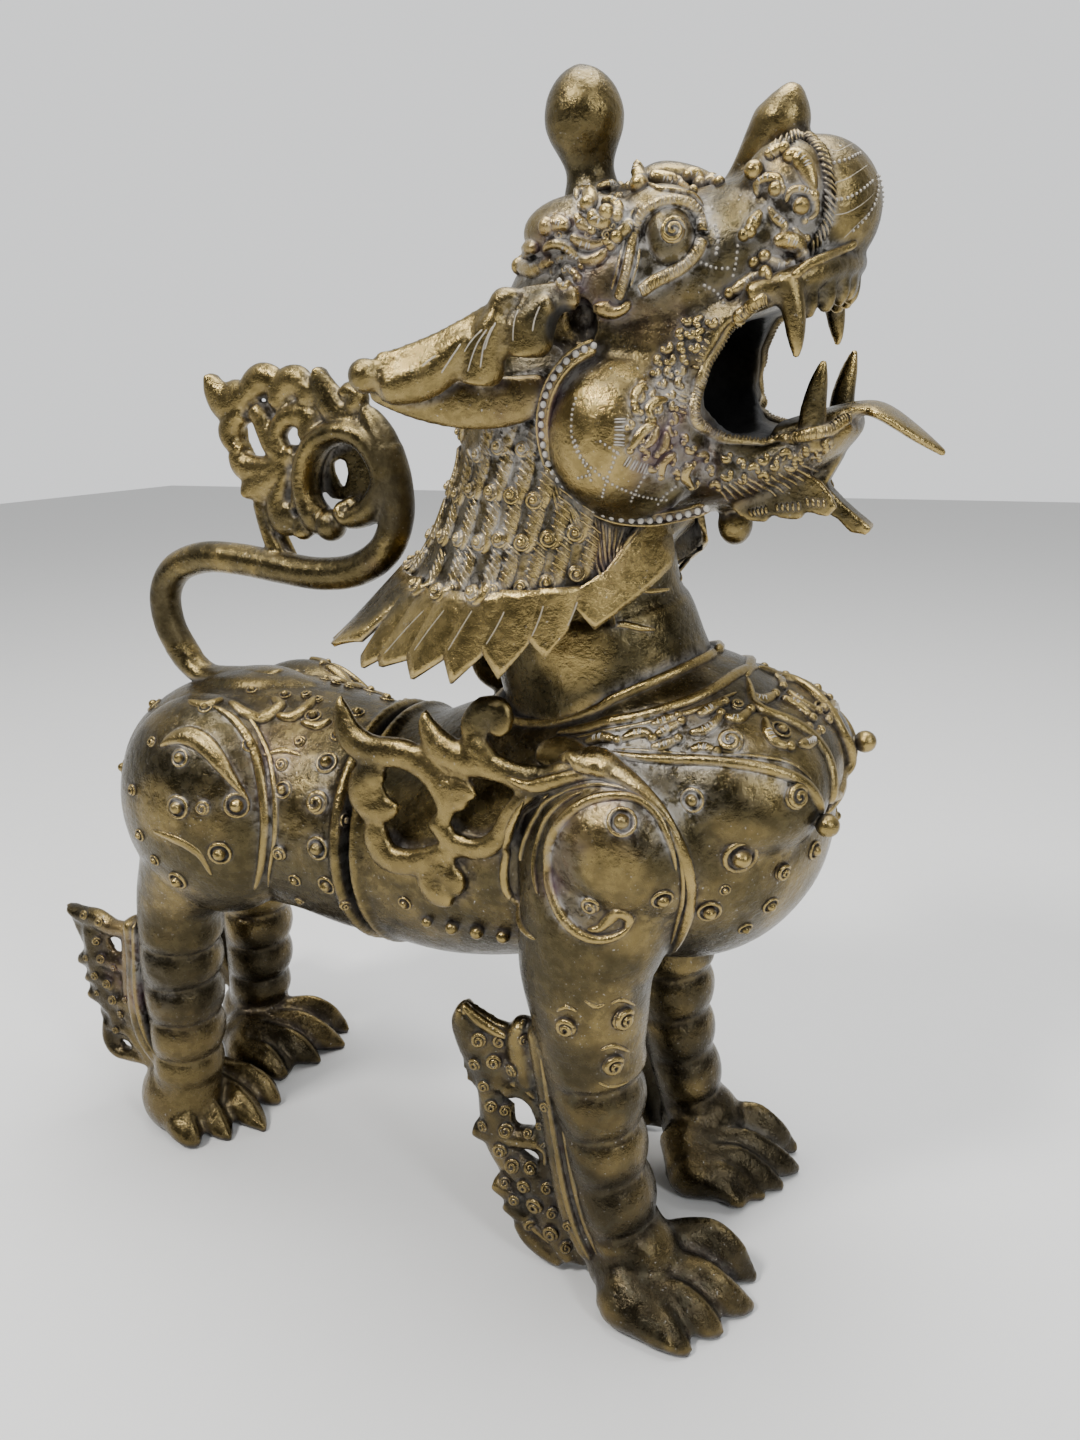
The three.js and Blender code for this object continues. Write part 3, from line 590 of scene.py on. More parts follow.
def brass(name, tint, handled=0.0):
    """Old cast brass: olive-brown over gold, dark and pale residue in the recesses, green below, with painted shade in
    the crevices, the hollows, the dark spots and whole pieces, and painted sheen where rubbed
    """
    finish = bpy.context.scene.lion_finish
    r = Recipe(name)
    where = r.add("ShaderNodeTexCoord").outputs["Object"]
    broad = r.noise(where, 26.0, 5.0)
    fine = r.noise(where, 190.0, 6.0, 0.65)
    grit = r.noise(where, 700.0, 3.0, 0.6)
    height = r.add("ShaderNodeSeparateXYZ", {"Vector": where}).outputs["Z"]

    open_air = r.add("ShaderNodeAmbientOcclusion", {"Distance": 0.006}, samples=6).outputs["AO"]
    wide_air = r.add("ShaderNodeAmbientOcclusion", {"Distance": 0.035}, samples=4).outputs["AO"]
    edge = r.add("ShaderNodeNewGeometry").outputs["Pointiness"]
    uneven = r.math("ADD", open_air, r.reach(fine, 0.3, 0.7, -0.08, 0.08))
    # Crevices found by small-scale occlusion: old dirt in them, and painted crevice shade
    recess_dirt_and_shade = r.reach(uneven, 0.5, 0.95, 1.0, 0.0)
    # Painted shade: wide occlusion darkens whole hollows, such as the mouth, towards the recess colour
    hollow = r.reach(wide_air, 0.15, 0.7, 1.0, 0.0)
    worn = r.reach(r.math("ADD", edge, r.reach(broad, 0.3, 0.7, -0.02, 0.03)), 0.5, 0.58)
    rubbed = r.math("MULTIPLY", r.reach(broad, 0.46, 0.66), r.reach(fine, 0.35, 0.65))

    low = r.reach(r.math("ADD", height, r.reach(broad, 0.3, 0.7, -0.03, 0.03)), 0.03, 0.21, 1.0, 0.0)
    body = r.mix(r.reach(fine, 0.36, 0.78), (*finish.olive, 1), (*tint, 1))
    body = r.mix(r.math("MULTIPLY", low, 0.8), body, (*finish.umber, 1))
    gold = r.math("MAXIMUM", r.math("MULTIPLY", worn, 0.85), r.math("MULTIPLY", rubbed, 0.4 + handled))
    gold = r.math("MULTIPLY", gold, r.reach(low, 0.0, 1.0, 1.0, 0.55))
    # Gold where marked as rubbed: partly worn brass, partly painted sheen
    gold = r.math("MAXIMUM", gold, r.math("MULTIPLY", r.attribute("wear_and_painted_sheen"), r.reach(fine, 0.3, 0.6, 0.5, 0.9)))
    # Painted shade: whole pieces and the underside of the jaw are darkened towards umber and lose some of their gold
    painted_shade_dim = r.attribute("painted_shade_dim")
    body = r.mix(r.math("MULTIPLY", painted_shade_dim, 0.35), body, (*finish.umber, 1))
    gold = r.math("MULTIPLY", gold, r.reach(painted_shade_dim, 0.0, 1.0, 1.0, 0.62))
    colour = r.mix(gold, body, (*finish.gold, 1))
    # Old dirt and painted shade in the crevices, then painted shade in the wide hollows
    colour = r.mix(r.math("MULTIPLY", recess_dirt_and_shade, 0.85), colour, (*finish.recess_dirt_and_shade, 1))
    colour = r.mix(r.math("MULTIPLY", hollow, 0.75), colour, (*finish.recess_dirt_and_shade, 1))

    chalk = r.math("MULTIPLY", r.attribute("chalk"), r.reach(uneven, 0.55, 1.02, 1.0, 0.06))
    chalk = r.math("MULTIPLY", chalk, r.reach(fine, 0.4, 0.58))
    colour = r.mix(chalk, colour, (*finish.chalk, 1))
    rouge = r.math("MULTIPLY", r.attribute("rouge"), r.reach(broad, 0.38, 0.6))
    rouge = r.math("MULTIPLY", rouge, r.reach(uneven, 0.55, 1.05, 1.0, 0.25))
    colour = r.mix(rouge, colour, (*finish.rouge, 1))
    green = r.math("MULTIPLY", r.attribute("verdigris"), r.reach(fine, 0.48, 0.64))
    green = r.math("MULTIPLY", green, r.reach(uneven, 0.5, 1.0, 1.0, 0.3))
    colour = r.mix(green, colour, (*finish.verdigris, 1))
    specks = r.math("MULTIPLY", r.reach(grit, 0.66, 0.72), r.reach(broad, 0.4, 0.6, 0.1, 0.7))
    colour = r.mix(specks, colour, (*finish.chalk, 1))
    # Painted shade: near black in the mouth, the throat and the ear holes, and darker spots on the tail
    painted_shade_and_dark_spots = r.attribute("painted_shade_and_dark_spots")
    colour = r.mix(painted_shade_and_dark_spots, colour, (0.004, 0.004, 0.004, 1))
    white = r.attribute("white")
    colour = r.mix(white, colour, (*finish.chalk, 1))

    crust = r.math("MAXIMUM", chalk, r.math("MAXIMUM", r.math("MULTIPLY", rouge, 0.7), green))
    crust = r.math("MAXIMUM", crust, r.math("MAXIMUM", painted_shade_and_dark_spots, white))
    dull = r.math("MAXIMUM", crust, r.math("MULTIPLY", recess_dirt_and_shade, 0.75))
    metal = r.reach(dull, 0.0, 1.0, 0.97, 0.1)
    rough = r.math("ADD", r.reach(fine, 0.3, 0.7, 0.2, 0.32), r.math("MULTIPLY", dull, 0.35))
    rough = r.math("SUBTRACT", rough, r.math("MULTIPLY", gold, 0.06))

    dents = r.noise(where, 75.0, 2.0, 0.5)
    pits = r.math("ADD", r.math("MULTIPLY", grit, 0.4), r.math("ADD", fine, r.math("MULTIPLY", dents, 1.6)))
    bump = r.add("ShaderNodeBump", {"Height": pits, "Strength": 0.42, "Distance": 0.0014})
    shader = r.add("ShaderNodeBsdfPrincipled", {
        "Base Color": colour, "Metallic": metal, "Roughness": rough, "Normal": bump.outputs["Normal"]})
    r.add("ShaderNodeOutputMaterial", {"Surface": shader.outputs["BSDF"]})
    return r.material


# Where residue gathers, where painted shade darkens and where painted sheen brightens: for each kind, its strength
# everywhere, then centres in the piece's own millimetres with a radius and a strength
HEAD_SPOTS = {
    "painted_shade_dim": (0.6, [((140, -30, 372), 26, 1)]),
    "wear_and_painted_sheen": (0.0, [((88, -64, 388), 22, 0.7), ((66, 0, 500), 16, 0.5), ((190, 0, 384), 24, 0.6),
                  ((40, -76, 408), 40, 0.45), ((168, -12, 462), 16, 0.4)]),
    "painted_shade_and_dark_spots": (0.0, [((110, 0, 405), 47, 1), ((80, -62, 427), 8, 0.9), ((80, 62, 427), 8, 0.9)]),
    "chalk": (0.3, [((70, -55, 450), 28, 1), ((112, -44, 452), 24, 0.9), ((116, -48, 390), 26, 0.9),
                    ((150, -26, 455), 18, 0.8), ((140, -40, 372), 20, 0.4)]),
    "rouge": (0.1, [((88, -55, 440), 16, 0.7), ((118, -46, 376), 24, 0.8), ((105, -45, 430), 14, 0.5),
                    ((64, -60, 400), 16, 0.6), ((132, -38, 362), 16, 0.9), ((74, -56, 446), 20, 0.7)]),
}
MANE_SPOTS = {
    "painted_shade_dim": (0.6, []),
    "wear_and_painted_sheen": (0.0, [((70, -70, 312), 40, 0.9), ((20, -86, 300), 46, 0.9), ((110, -50, 350), 40, 0.8),
                  ((80, -45, 268), 18, 0.5)]),
    "chalk": (0.35, [((50, -60, 400), 34, 1), ((30, -70, 350), 30, 0.9), ((-20, -50, 340), 40, 0.6)]),
    "rouge": (0.05, [((95, -64, 345), 26, 0.6)]),
}
FRONT_SPOTS = {
    "painted_shade_dim": (1.0, []),
    "wear_and_painted_sheen": (0.0, [((20, -80, 235), 40, 0.6), ((-10, -70, 215), 30, 0.5), ((100, -84, 225), 14, 0.4),
                  ((150, -40, 262), 24, 0.4), ((86, -74, 250), 22, 0.6)]),
    "chalk": (0.14, [((104, -60, 267), 22, 1), ((128, -60, 272), 22, 1), ((92, -70, 268), 18, 0.8),
                     ((127, -66, 256), 18, 1), ((150, -56, 262), 18, 0.8), ((77, -84, 228), 15, 1),
                     ((80, -84, 206), 15, 1), ((96, -82, 247), 14, 0.7), ((116, -80, 240), 14, 0.8)]),
    "rouge": (0.1, [((68, -80, 222), 20, 1), ((90, -82, 246), 20, 0.8), ((110, -80, 244), 16, 0.7),
                    ((72, -56, 80), 14, 0.5)]),
    "verdigris": (0.06, [((60, -56, 90), 46, 0.6), ((100, -60, 10), 50, 0.5), ((40, -20, 140), 50, 0.5),
                         ((100, 0, 160), 34, 0.6), ((60, 56, 60), 50, 0.5)]),
}
REAR_SPOTS = {
    "painted_shade_dim": (0.9, []),
    "wear_and_painted_sheen": (0.0, [((-140, -74, 210), 18, 0.4), ((-70, -56, 215), 16, 0.3), ((-170, -45, 20), 60, 0.3)]),
    "chalk": (0.12, [((-120, -60, 232), 30, 0.6), ((-70, -55, 215), 30, 0.5), ((-185, -58, 100), 30, 0.7)]),
    "rouge": (0.12, [((-200, -48, 100), 30, 0.7), ((-90, -50, 235), 24, 0.3)]),
    "verdigris": (0.05, [((-170, -45, 20), 50, 0.3)]),
}
TAIL_SPOTS = {
    "painted_shade_dim": (0.6, []),
    "wear_and_painted_sheen": (0.1, [((-120, 0, 385), 46, 0.5), ((-78, -6, 360), 16, 0.5)]),
    "painted_shade_and_dark_spots": (0.0, [((-37, 0, 352), 18, 0.4), ((-186, 0, 292), 22, 0.3), ((-40, 0, 378), 16, 0.3)]),
    "chalk": (0.3, []), "rouge": (0.05, [((-60, 0, 322), 16, 0.5)]), "verdigris": (0.08, []),
}


MOST_TRIANGLES = 196000


def spot_amount(point, spots):
    amount = 0.0
    for centre, radius, strength in spots:
        away = (point - Vector(centre)).length / radius
        if away < 1:
            amount = max(amount, strength * min(1, 2.5 * (1 - away * away)))
    return amount


def finished(name, shape, node, material, turn=Matrix(), spots=None):
    """The shape as a piece of the lion that stands for a node"""
    bmesh.ops.remove_doubles(shape, verts=shape.verts, dist=1e-4)
    shape = thinned(shape, MOST_TRIANGLES)
    bmesh.ops.recalc_face_normals(shape, faces=shape.faces)
    mesh = bpy.data.meshes.new(name)
    shape.to_mesh(mesh)
    shape.free()
    spots = spots or {}
    # Each vertex takes its residue, painted shade and painted sheen from the spots
    for kind in ("chalk", "rouge", "verdigris", "painted_shade_and_dark_spots", "wear_and_painted_sheen", "painted_shade_dim"):
        layer = mesh.attributes.new(kind, "FLOAT", "POINT")
        base, places = spots.get(kind, (0.0, ()))
        values = [max(base, spot_amount(vert.co, places)) for vert in mesh.vertices]
        layer.data.foreach_set("value", values)
    mesh.transform(TO_FRAME @ turn)
    mesh.shade_smooth()
    mesh.materials.append(material)
    piece = bpy.data.objects.new(name, mesh)
    bpy.context.scene.collection.objects.link(piece)
    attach(piece, "root")
    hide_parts(node)
    print(name, sum(face.loop_total - 2 for face in mesh.polygons), "triangles", flush=True)
    return piece


# Front half
BARREL_RADIUS, BARREL_HEIGHT = 59, 192
SEAM_X, SEAM_GAP, RIM_WIDTH, RIM_HEIGHT = -40, 4, 5, 3
CHEST_CENTRE, CHEST_RADII, CHEST_DROOP = Vector((100, 0, 224)), (67, 70, 70), 13
PECTORAL_CENTRE, PECTORAL_RADII = Vector((125, -27, 245)), (46, 37, 34)
SHOULDER_CENTRE, SHOULDER_BULGE = Vector((95, -60, 225)), 24
FORE_TRACK, HIND_TRACK, FAR_HIND_SETBACK = 52, 43, 20
FORELEG = [
    (90, 254, 6, 16), (88, 236, 16, 32), (85, 213, 25, 37), (82, 190, 30, 34), (77, 165, 29, 30),
    (78, 140, 26, 26), (79, 115, 22, 23), (82, 90, 20, 20), (86, 65, 19, 18), (92, 40, 19, 17),
    (97, 22, 18, 16), (100, 8, 18, 16),
]
# Each leg's creases: the lowest one's height, their pitch, and where they fade in and out
FORE_CREASES = (12.3, 24.3, (24, 34), (112, 126))
HIND_CREASES = (28.3, 22.8, (30, 42), (122, 140))
WING_TRACK, STRAND_SWELL = 66, 1.3

# The ridge of each toe: pixel, pixel, its height over the floor and half width in millimetres
FORE_TOES = [
    [(618, 1280, 21, 10), (646, 1300, 17.5, 10.5), (667, 1320, 12.5, 9.5), (682, 1340, 6.5, 6), (690, 1353, 2, 1.5)],
    [(638, 1262, 26, 10), (667, 1281, 21, 10.5), (693, 1299, 15.5, 9.5), (712, 1319, 8, 6.5), (722, 1333, 2.2, 1.5)],
    [(655, 1245, 29, 10), (693, 1261, 23, 10.5), (718, 1278, 17, 9.5), (740, 1295, 8.5, 6.5), (754, 1305, 2.2, 1.5)],
    [(660, 1226, 31, 10), (697, 1222, 29, 10.5), (722, 1236, 22.5, 9.5), (743, 1261, 10, 6.5), (756, 1278, 2.4, 1.5)],
]
FAR_FORE_TOES = [
    [(686, 1150, 24, 10), (710, 1162, 20, 10.5), (732, 1171, 15, 9.5), (752, 1185, 7.5, 6), (765, 1197, 2, 1.5)],
    [(698, 1136, 27, 10), (724, 1147, 23, 10.5), (748, 1157, 17, 9.5), (769, 1173, 9, 6.5), (784, 1186, 2.2, 1.5)],
    [(704, 1122, 29, 10), (735, 1131, 25, 10.5), (763, 1143, 18, 9.5), (785, 1157, 10, 6.5), (799, 1168, 2.4, 1.5)],
    [(708, 1108, 30, 10), (743, 1105, 28, 10.5), (767, 1119, 21, 9.5), (785, 1136, 10, 6), (797, 1148, 3, 1.5)],
]
HIND_TOES = [
    [(166, 1080, 25, 10), (176, 1098, 21, 10), (184, 1115, 16, 9), (192, 1132, 9, 6.5), (198, 1145, 2.2, 1.5)],
    [(184, 1076, 26, 10), (201, 1093, 20, 9.5), (212, 1106, 15.5, 9), (222, 1124, 8, 6.5), (230, 1138, 2.2, 1.5)],
    [(198, 1066, 27, 10), (224, 1081, 21, 9.5), (241, 1095, 16, 9), (255, 1113, 8, 6.5), (265, 1129, 2.2, 1.5)],
    [(208, 1056, 28, 9), (236, 1064, 23, 9), (258, 1075, 17, 8.5), (271, 1090, 9, 6), (280, 1102, 2.2, 1.5)],
]
FAR_HIND_TOES = [
    [(240, 1030, 26, 10), (258, 1044, 20, 10), (270, 1054, 15, 9), (280, 1067, 8, 6), (287, 1075, 2.2, 1.5)],
    [(252, 1016, 28, 10), (280, 1029, 22, 10), (298, 1039, 16, 9), (311, 1051, 8, 6), (320, 1061, 2.2, 1.5)],
    [(260, 1006, 30, 10), (292, 1013, 25, 10), (316, 1023, 18, 9), (334, 1036, 8, 6), (345, 1045, 2.2, 1.5)],
    [(266, 999, 31, 10), (300, 998, 28, 10), (322, 1004, 21, 9), (338, 1017, 10, 6), (348, 1030, 2.4, 1.5)],
]


def chest(shape):
    dome = []
    for f in (-0.45, -0.1, 0.25, 0.55, 0.8, 0.94, 0.995):
        size = math.sqrt(1 - f * f)
        dome.append((CHEST_CENTRE.x + CHEST_RADII[0] * f, 0, CHEST_CENTRE.z + CHEST_DROOP * f,
                     CHEST_RADII[1] * size, CHEST_RADII[2] * size))
    barrel = [(x, 0, BARREL_HEIGHT + rise, BARREL_RADIUS + swell * 0.8, BARREL_RADIUS + swell)
              for x, rise, swell in ((SEAM_X, 0, 0), (-10, 0, 2), (22, 9, 4))]
    limb(shape, barrel + dome, sides=72, steps=60)


def seam_rim(shape, x):
    """The raised rim that each half of the body has beside the seam"""
    rings = []
    for step in range(72):
        angle = TAU * step / 72
        out = Vector((0, math.cos(angle), math.sin(angle)))
        place = Vector((x, 0, BARREL_HEIGHT)) + out * BARREL_RADIUS
        rings.append(basis(X * (RIM_WIDTH / 2 + 0.4), out * RIM_HEIGHT, out.cross(X), place))
    loft(shape, rings, sides=12, loop=True)


def leg(shape, stations, track, creases):
    """A leg with round folds between creases, and with its rear left plain for the fin's strip"""
    lowest, pitch, fade_in, fade_out = creases

    def fold(t, angle):
        height = along(stations, t)[1]
        front = ease(-math.sin(angle), -0.75, 0.0)
        wave = abs(math.sin(math.pi * (height - lowest) / pitch))
        fade = ease(height, *fade_in) * (1 - ease(height, *fade_out))
        return 1 + fade * front * (0.23 * wave ** 0.55 - 0.13)

    limb(shape, [(a, track, b, wide, deep) for a, b, wide, deep in stations], sides=40, steps=110, swell=fold)


def knuckle(t, angle):
    """Gives a toe a ridge along its top"""
    return 1 + 0.34 * ease(t, 0.3, 0.5) * math.exp(-((angle + math.pi / 2) / 0.32) ** 2)


def paw(shape, heel, toes):
    """A flat-soled paw whose toes come free of its body in their last half"""
    ball(shape, heel, (23, 20, 24), sides=24, rings=16)
    root = (heel[0] + 4, heel[1], heel[2] - 2, 16, 17)
    rows = []
    for toe in toes:
        row = [root]
        for u, v, top, half in toe:
            place = BODY_SIGHT.on_level(u, v, top)
            row.append((place.x, place.y, top / 2, half, top / 2 + 0.6))
        limb(shape, row, sides=24, steps=30, swell=knuckle)
        rows.append(row)
    body = []
    for i, share in enumerate((1.0, 1.0, 0.8, 0.5)):
        knots = [Vector(row[i]) for row in rows]
        middle = sum(knots, Vector((0,) * 5)) / len(knots)
        reach = first_three(knots[0] - knots[-1]).length / 2 + middle[3] * 0.8
        body.append((middle[0], middle[1], middle[2] * share, reach, middle[4] * share))
    limb(shape, body, sides=28, steps=20, tail=0.2)


def settle_on_floor(shape, sole=0.0):
    for vert in shape.verts:
        vert.co.z = max(vert.co.z, sole)


def planar(shape, sight, knots, y, thick=None, **options):
    """A flat strand standing at y, told by knots (pixel, pixel, half width in millimetres)"""
    stations = []
    where = (y,) if isinstance(y, (int, float)) else y
    for u, v, half in knots:
        place = sight.on_side(u, v, *where)
        stations.append((*place, thick or max(half * 0.8, 1.8), half * STRAND_SWELL))
    limb(shape, stations, **{"sides": 14, "steps": 28, "head": 0.08, "tail": 0.08, **options})


def plate(shape, sight, outline, holes, y, thickness):
    """A flat plate standing at y, cut to an outline of pixels and pierced"""
    def cut(pixels, depth):
        part = new_shape()
        slab(part, [(place.x, place.z) for place in (sight.on_side(u, v, y) for u, v in pixels)], depth, y)
        return part

    solid = cut(outline, thickness)
    for hole in holes:
        solid = carved(solid, cut(hole, thickness * 3))
    add(shape, solid)


WING_STRANDS = [
    [(333, 696, 0.8), (337, 715, 3.8), (347, 738, 5.6), (370, 752, 5.6), (400, 755, 5.4), (425, 768, 5.2),
     (441, 788, 5), (446, 810, 3.6), (440, 826, 3)],
    [(383, 768, 5), (364, 778, 5.2), (362, 797, 5.4), (374, 810, 5.2), (388, 808, 4.4), (393, 799, 3)],
    [(378, 822, 4.6), (377, 838, 5.4), (387, 856, 5.6), (408, 862, 5), (430, 858, 4.4), (450, 850, 3.4),
     (470, 850, 3)],
    [(455, 896, 4.6), (438, 890, 6), (432, 880, 5.4), (442, 868, 4.4), (456, 864, 2.6)],
    [(419, 711, 0.8), (423, 728, 3.8), (437, 748, 5.6), (458, 760, 5.6), (480, 765, 5), (500, 772, 4.4),
     (525, 780, 4.6)],
    [(468, 742, 3.4), (466, 726, 3.8), (476, 713, 4.2), (492, 713, 4.6), (497, 726, 4.2), (486, 732, 3.4)],
    [(466, 740, 4), (475, 752, 5), (488, 764, 4.4), (505, 772, 4)],
    [(446, 806, 3.4), (448, 794, 4), (458, 788, 4.4), (469, 793, 3.2), (472, 800, 1.6)],
    [(430, 818, 3), (440, 827, 4), (453, 842, 4), (478, 849, 4), (497, 839, 3.6), (508, 817, 3.2),
     (520, 801, 2.8), (534, 793, 2.4)],
    [(500, 772, 4.4), (525, 780, 4.8), (545, 781, 4.8), (575, 773, 4.6), (613, 776, 4.8)],
]
# Plain discs that the wing's curls are wound round: pixel, pixel, radius, half depth
WING_DISCS = [(479, 724, 6.2, 1.8), (373, 792, 7, 3), (450, 880, 8, 4), (458, 800, 5.4, 3)]


def flame_wing(shape):
    for strand in WING_STRANDS:
        planar(shape, BODY_SIGHT, strand, -WING_TRACK)
    for u, v, radius, deep in WING_DISCS:
        ball(shape, BODY_SIGHT.on_side(u, v, -WING_TRACK), (radius, deep, radius), 20, 12)
    for vert in shape.verts:
        vert.co.y += max(0, vert.co.z - 235) * 0.12


FORE_FIN = [
    [(463, 1001, 1), (468, 1020, 7), (482, 1045, 10), (496, 1070, 9), (506, 1085, 5)],
    [(524, 1019, 3), (520, 1036, 5), (524, 1060, 6), (532, 1085, 5)],
    [(490, 1070, 6), (492, 1095, 5), (497, 1120, 6), (503, 1145, 6), (515, 1165, 6)],
    [(476, 1124, 3.4), (486, 1128, 4.6), (500, 1131, 5), (520, 1136, 4), (545, 1138, 4)],
    [(505, 1085, 5), (522, 1086, 4), (538, 1098, 3.4), (545, 1115, 3)],
    [(512, 1160, 6), (530, 1175, 7), (545, 1200, 7), (560, 1235, 6), (575, 1258, 3)],
    [(496, 1178, 3.2), (508, 1186, 4.4), (524, 1196, 4)],
    [(507, 1198, 3.2), (518, 1206, 4.4), (534, 1216, 5)],
    [(520, 1215, 3), (532, 1232, 5), (548, 1246, 5), (566, 1258, 3)],
]
FORE_FIN_PLATE = [
    (461, 1000), (478, 1008), (497, 1020), (513, 1025), (523, 1017), (533, 1022), (537, 1050), (575, 1052),
    (590, 1150), (600, 1262), (584, 1264), (560, 1256), (540, 1243), (524, 1226), (516, 1208), (508, 1202),
    (507, 1190), (497, 1185), (495, 1177), (501, 1170), (498, 1158), (489, 1146), (487, 1137), (477, 1131),
    (476, 1121), (481, 1114), (480, 1086), (470, 1078), (465, 1062), (465, 1046), (458, 1038),
]
FORE_FIN_HOLES = [
    [(500, 1098), (508, 1092), (519, 1091), (530, 1100), (537, 1117), (535, 1127), (516, 1126), (513, 1104)],
    [(521, 1149), (529, 1145), (540, 1154), (540, 1161), (532, 1162)],
]
# Curls of the fin: pixels and radius
FORE_FIN_CURLS = [
    (479, 1040, 4.6), (500, 1041, 4.4), (494, 1062, 4.6), (475, 1064, 4), (512, 1070, 4.2), (484, 1086, 3.6),
    (491, 1106, 4), (505, 1110, 3.6), (483, 1126, 3.6), (506, 1131, 4.6), (528, 1134, 3), (500, 1150, 4.6),
    (512, 1166, 4.6), (530, 1168, 4), (545, 1146, 3), (505, 1183, 3.6), (524, 1186, 4.4), (547, 1188, 4),
    (514, 1200, 3.4), (535, 1205, 5.4), (530, 1224, 4.4), (552, 1213, 3.6), (551, 1233, 5), (566, 1247, 4),
    (545, 1107, 3.2), (524, 1040, 3.4), (540, 1126, 2.8), (568, 1226, 3.2),
]
FORE_FIN_RIDGES = [
    [(463, 1003, 1), (476, 1018, 2.4), (494, 1030, 2.2), (508, 1036, 1)], [(466, 1006, 1), (464, 1026, 2), (468, 1044, 1)],
    [(524, 1020, 1), (520, 1040, 2), (524, 1066, 2), (530, 1084, 1)], [(500, 1088, 1), (518, 1084, 2), (534, 1096, 2), (541, 1114, 1)],
    [(494, 1092, 1), (494, 1110, 2), (500, 1126, 1)], [(516, 1143, 1), (530, 1141, 1.8), (545, 1150, 1.4), (546, 1164, 1)],
    [(486, 1130, 1), (494, 1142, 2), (510, 1150, 1)], [(518, 1212, 1), (536, 1228, 2), (556, 1244, 1)],
]
# The strip down the back of a leg, and the two ridges on it
FORE_STRIP = [(538, 1020, 4), (546, 1056, 5), (555, 1110, 5), (563, 1160, 5), (574, 1210, 5), (595, 1256, 4)]
FORE_RIDGES = [
    [(543, 1046, 1.2), (549, 1090, 1.6), (557, 1140, 1.6), (566, 1190, 1.6), (578, 1230, 1.4), (594, 1260, 1)],
    [(555, 1050, 1.2), (561, 1092, 1.5), (568, 1140, 1.5), (577, 1188, 1.5), (589, 1228, 1.4), (604, 1258, 1)],
]
KNEE_BANDS = [
    ([(598, 1082), (612, 1087), (630, 1080)], (0.6, 1.2, 0.6), 0.8),
    ([(556, 1012), (566, 1007), (578, 1012)], (0.5, 1.4, 0.5), 1.0),
    ([(600, 1050), (614, 1046), (630, 1052)], (0.5, 1.6, 0.5), 1.2),
    ([(584, 1000), (596, 1007), (606, 1003)], (0.5, 1.4, 0.5), 1.0),
    ([(610, 1004), (622, 1000), (636, 1006)], (0.5, 1.4, 0.5), 1.0),
]
KNEE_CURLS = [(566, 1027, 5.6), (623, 1019, 6.4), (613, 1065, 6)]
SHOULDER_BANDS = [
    ([(636, 916), (622, 932), (600, 939), (575, 930), (556, 904), (549, 868), (555, 832), (576, 808),
      (605, 797), (636, 799), (657, 815), (669, 842), (676, 872)], (1, 2.2, 2.6, 2.4, 2.4, 2.2, 2, 1.2), 3),
    ([(586, 929), (599, 928), (609, 919), (620, 913), (629, 920), (624, 931)], (0.8, 2, 2.8, 3.2, 2.4, 1), 2.4),
    ([(524, 800), (511, 828), (505, 862), (508, 893), (520, 920), (536, 940)], (1, 2.2, 2.6, 2.4, 1), 2),
    ([(583, 792), (556, 808), (540, 836), (534, 866), (538, 895)], (0.8, 1.6, 1.4, 0.6), 1.8),
    ([(566, 792), (540, 810), (526, 838), (521, 862)], (0.8, 1.5, 1.3, 0.6), 1.8),
    ([(550, 793), (528, 810), (517, 832)], (0.8, 1.4, 0.6), 1.6),
    ([(505, 777), (530, 786), (556, 781), (590, 773), (620, 778), (650, 800), (674, 835), (688, 872),
      (690, 905), (681, 936), (669, 954)], (2, 3.4, 3.2, 3, 3, 2.8, 2.4, 1.6), 2.4),
    ([(560, 793), (600, 785), (640, 796), (667, 826), (681, 866), (681, 905), (670, 945)], 1.1, 1.7),
    ([(536, 753), (560, 753), (586, 758), (610, 768), (634, 785), (660, 810), (680, 842)],
     (6.6, 8, 7.4, 6, 4.2, 2.6, 0.8), 4),
]
SHOULDER_STUDS = [(622, 822, 6), (591, 905, 5), (662, 899, 4.8)]
CHEST_STUDS = [
    (692, 800, 5), (796, 797, 6.2), (740, 856, 7.6), (814, 850, 4.2), (782, 872, 4.6), (709, 911, 5.2),
    (770, 905, 4), (730, 743, 6.4), (781, 730, 4.4), (806, 729, 4.4), (738, 706, 3.8),
    (725, 890, 2.4), (745, 928, 3.4), (764, 700, 3),
]
GORGET_BANDS = [
    ([(556, 733), (600, 724), (640, 716), (680, 704), (712, 690), (738, 673), (757, 667)], 2.6, 2.4),
    ([(575, 738), (620, 729), (665, 719), (705, 707), (738, 692)], (0.8, 1.5, 1.5, 0.8), 1.6),
    ([(598, 754), (640, 758), (690, 760), (740, 764), (775, 771), (800, 781), (814, 795), (821, 814)],
     (1.6, 2.6, 2.6, 2.8, 2.4), 3),
    ([(612, 749), (660, 752), (710, 755), (760, 757), (792, 764), (812, 780)], 1.0, 1.2),
    ([(757, 667), (790, 680), (820, 700), (840, 730), (849, 765), (840, 795), (826, 814)],
     (1.6, 2.8, 3.2, 3, 3, 2.6, 2), 3.2),
]
